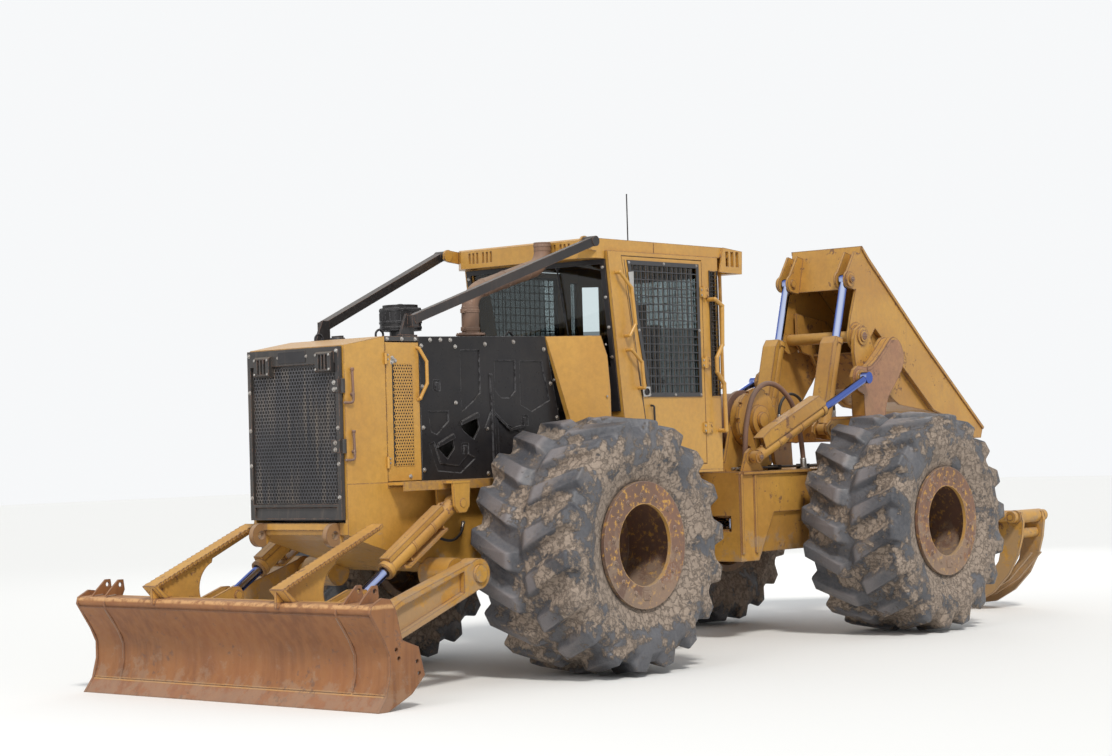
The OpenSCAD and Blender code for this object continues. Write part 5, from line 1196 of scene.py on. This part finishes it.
def makeTopParts():
    up, bore = (0, 0, 1), exhaust["bore"]
    x, y = exhaust["foot"]
    clamps = []
    for z in exhaust["footBands"]:
        clamps.append(band(at(x, y, z), up, bore, bore + 0.005, 0.024, 36))
        clamps.append(block(at(0.460, 0.296, z - 0.002), at(0.487, 0.324, z + 0.026)))
        clamps += bolt(at(0.474, 0.324, z + 0.012), (0, 1, 0), 0.007, False)
    low, high = (at(*place) for place in exhaust["slope"])
    ahead = (high - low).normalized()
    for t in exhaust["slopeBands"]:
        clamps.append(band(low + ahead * t, ahead, bore, 0.0668, 0.020, 36))
    clamps.append(band(at(-0.395, 0.310, 3.064), up, bore, 0.0660, 0.014, 36))
    addPiece("exhaustClamps", "front_body", "scorchedPipe", clamps)
    flange = [turned(at(x, y, exhaust["flangeHeight"]), up, exhaust["flange"], 36)]
    spots = [at(x + a, y + b, 2.4125) for a, b in ringSpots(6, exhaust["boltRing"], 0.3)]
    addPiece("exhaustFlange", "front_body", "oldIron", flange + bolts(spots, up, 0.008, False))
    middle, bore = precleaner["x"], precleaner["bore"]
    bands = [band(at(middle, 0, z), up, bore, bore + 0.0045, 0.018, 40) for z in precleaner["bands"]]
    bands.append(turned(at(middle, 0, 2.6205), up, precleaner["top"], 6))
    for a, b in ringSpots(precleaner["ribs"], precleaner["ribRing"]):
        bands.append(tube([at(middle + a, b, z) for z in precleaner["ribSpan"]], 0.0035, 6))
    addPiece("precleanerBands", "front_body", "mouldedBlack", bands)
    caps = [turned(at(1.215, -0.20, 2.371), up, hoodTop["cap"], 24),
            block(at(1.205, -0.25, 2.395), at(1.225, -0.15, 2.410))]
    for x, y in hoodTop["loops"]:
        caps.append(tube(smoothPath([at(x + a, y, z) for a, z in hoodTop["loop"]], 5), 0.008, 8))
    addPiece("hoodFittings", "front_body", "blackPaint", caps)


# Steps: raised treads

treads = {"low": (-1.545, 0.585), "heights": (0.585, 0.885), "rows": 13, "columns": 5,
          "pitch": (0.0292, 0.037),
          "tooth": [(0.009, -0.001), (0.0085, 0.003), (0.0062, 0.004), (0.0055, 0.001)]}


def makeTreads():
    (x0, y0), (alongStep, acrossStep) = treads["low"], treads["pitch"]
    spots = [at(x0 + i * alongStep, side * (y0 + j * acrossStep), z) for side in (1, -1)
             for z in treads["heights"] for i in range(treads["rows"]) for j in range(treads["columns"])]
    teeth = [turned(spot, (0, 0, 1), treads["tooth"], 8) for spot in spots]
    addPiece("stepTreads", "front_body", "blackPaint", teeth)


# Blade: a smooth skin over its face, and the weld seams that stand out of it

bladeFace = {"skin": [(2.443, 0.098), (2.413, 0.165), (2.403, 0.230), (2.4025, 0.285), (2.404, 0.335),
                      (2.421, 0.385), (2.448, 0.430), (2.500, 0.510), (2.560, 0.590)], "half": 1.42,
             "seam": ((2.397, 0.230), (2.397, 0.335), (2.442, 0.430), (2.545, 0.577)), "seams": (-1.15, 1.12),
             "topSeams": (1.160, 1.300)}


def makeBladeParts():
    front = [(x + 0.0015, z) for x, z in bladeFace["skin"]]
    back = [(x - 0.006, z + 0.002) for x, z in bladeFace["skin"][::-1]]
    skin = plate(outlineAt(front + back), -bladeFace["half"], bladeFace["half"])
    addPiece("bladeSkin", "blade_body", "blade", [skin])
    seams = [weld([at(x + 0.004, y - 0.004, z) for x, z in bladeFace["seam"]], 0.006, 5)
             for y in bladeFace["seams"]]
    for side in (1, -1):
        for y in bladeFace["topSeams"]:
            seams.append(weld([at(2.4480, side * y, 0.668), at(2.520, side * y, 0.662)], 0.006, 4))
    addPiece("bladeWelds", "blade_body", "oldIron", seams)


# Welds along the frames, the arch and the boom: seed, distance from the middle, and the seam's points

welds = {"front": ("front_body", "goldPaint", [(2, 0.466, ((-0.95, 1.352), (1.42, 1.352)))]),
         "rear": ("rear_body", "workedPaint", [(3, 0.553, ((-2.44, 1.326), (-4.20, 1.326))),
                                               (6, 0.553, ((-2.588, 0.72), (-2.588, 1.32))),
                                               (8, 0.262, ((-3.19, 1.352), (-2.57, 1.352)))]),
         "arch": ("arch_body", "workedPaint", [(7, 0.386, ((-4.288, 1.62), (-4.270, 1.80), (-4.264, 1.96))),
                                               (1, 0.479, ((-4.378, 2.209), (-4.470, 2.264), (-4.594, 2.359),
                                                           (-4.650, 2.412), (-4.700, 2.452)))]),
         "boom": ("boom_body", "workedPaint", [(12, 0.308, ((-4.698, 2.550), (-5.023, 2.292), (-5.305, 2.074),
                                                            (-5.607, 1.836))),
                                               (13, 0.362, ((-4.615, 3.128), (-5.49, 2.386),
                                                            (-6.30, 1.745)))])}


def makeWelds():
    for name, (body, surface, seams) in welds.items():
        shapes = [weld([at(x, side * y, z) for x, z in seam], 0.005, seed)
                  for side in (1, -1) for seed, y, seam in seams]
        addPiece(name + "Welds", body, surface, shapes)


# Pins: a cap on each end with its keeper bolt and grease point: place, distance from the middle, reach

pins = {"boom_body": (((-4.329, 2.956), 0.391, 0.030),), "arch_body": (((-4.400, 2.465), 0.4462, 0.044),),
        "rear_body": (((-4.500, 1.240), 0.5655, 0.046), ((-2.600, 1.463), 0.6322, 0.026))}
greasePoint = [(0.005, 0), (0.005, 0.006), (0.003, 0.010)]


def makePins():
    for body, places in pins.items():
        shapes = []
        for (x, z), y, reach in places:
            for side in (1, -1):
                centre, out = at(x, side * y, z), (0, side, 0)
                cap = [(reach * 0.78, 0), (reach * 0.78, 0.006), (reach * 0.70, 0.009)]
                shapes.append(turned(centre - Vector((0, side * 0.003, 0)), out, cap, 24))
                shapes += bolt(centre + Vector((reach * 0.36, side * 0.005, 0)), out, 0.007, False)
                shapes.append(turned(centre + Vector((-reach * 0.3, side * 0.005, 0)), out, greasePoint, 8))
        addPiece(body + "PinCaps", body, "oldIron", shapes)


# Winch: the rope wound on the drum

rope = {"centre": (-2.88, 1.76), "ring": 0.2155, "radius": 0.0102, "start": -0.208, "pitch": 0.0208,
        "turns": 21, "steps": 40}


def makeWinchRope():
    (x, z), steps, pitch = rope["centre"], rope["steps"], rope["pitch"]
    spots = ringSpots(steps, rope["ring"])
    wraps = []
    for k in range(rope["turns"]):
        y = rope["start"] + k * pitch
        ring = [at(x + a, y + pitch * i / steps - pitch / 2, z + b)
                for i, (a, b) in enumerate(spots + spots[:1])]
        wraps.append(tube(ring, rope["radius"], 6, False))
    addPiece("winchWraps", "drum", "oldIron", wraps)


pieces = [makeScreen, makeServiceDoors, makePanelBolts, makeWheelParts, makeCabParts, makeCabSeat, makeHoses,
          makeCylinderParts, makeTopParts, makeTreads, makeBladeParts, makeWelds, makePins, makeWinchRope]


# Build everything

makeCamera()
makeWorld()
makeLamps()
makeFloor()
print("camera, lamps and floor")
for makeEffect in effects:
    makeEffect()
materials = makeMaterials()
dressNodes()
print("materials on the CAD nodes")
for makePiece in pieces:
    makePiece()
    print("made", makePiece.__name__)

bpy.context.scene.view_settings.view_transform = "Standard"
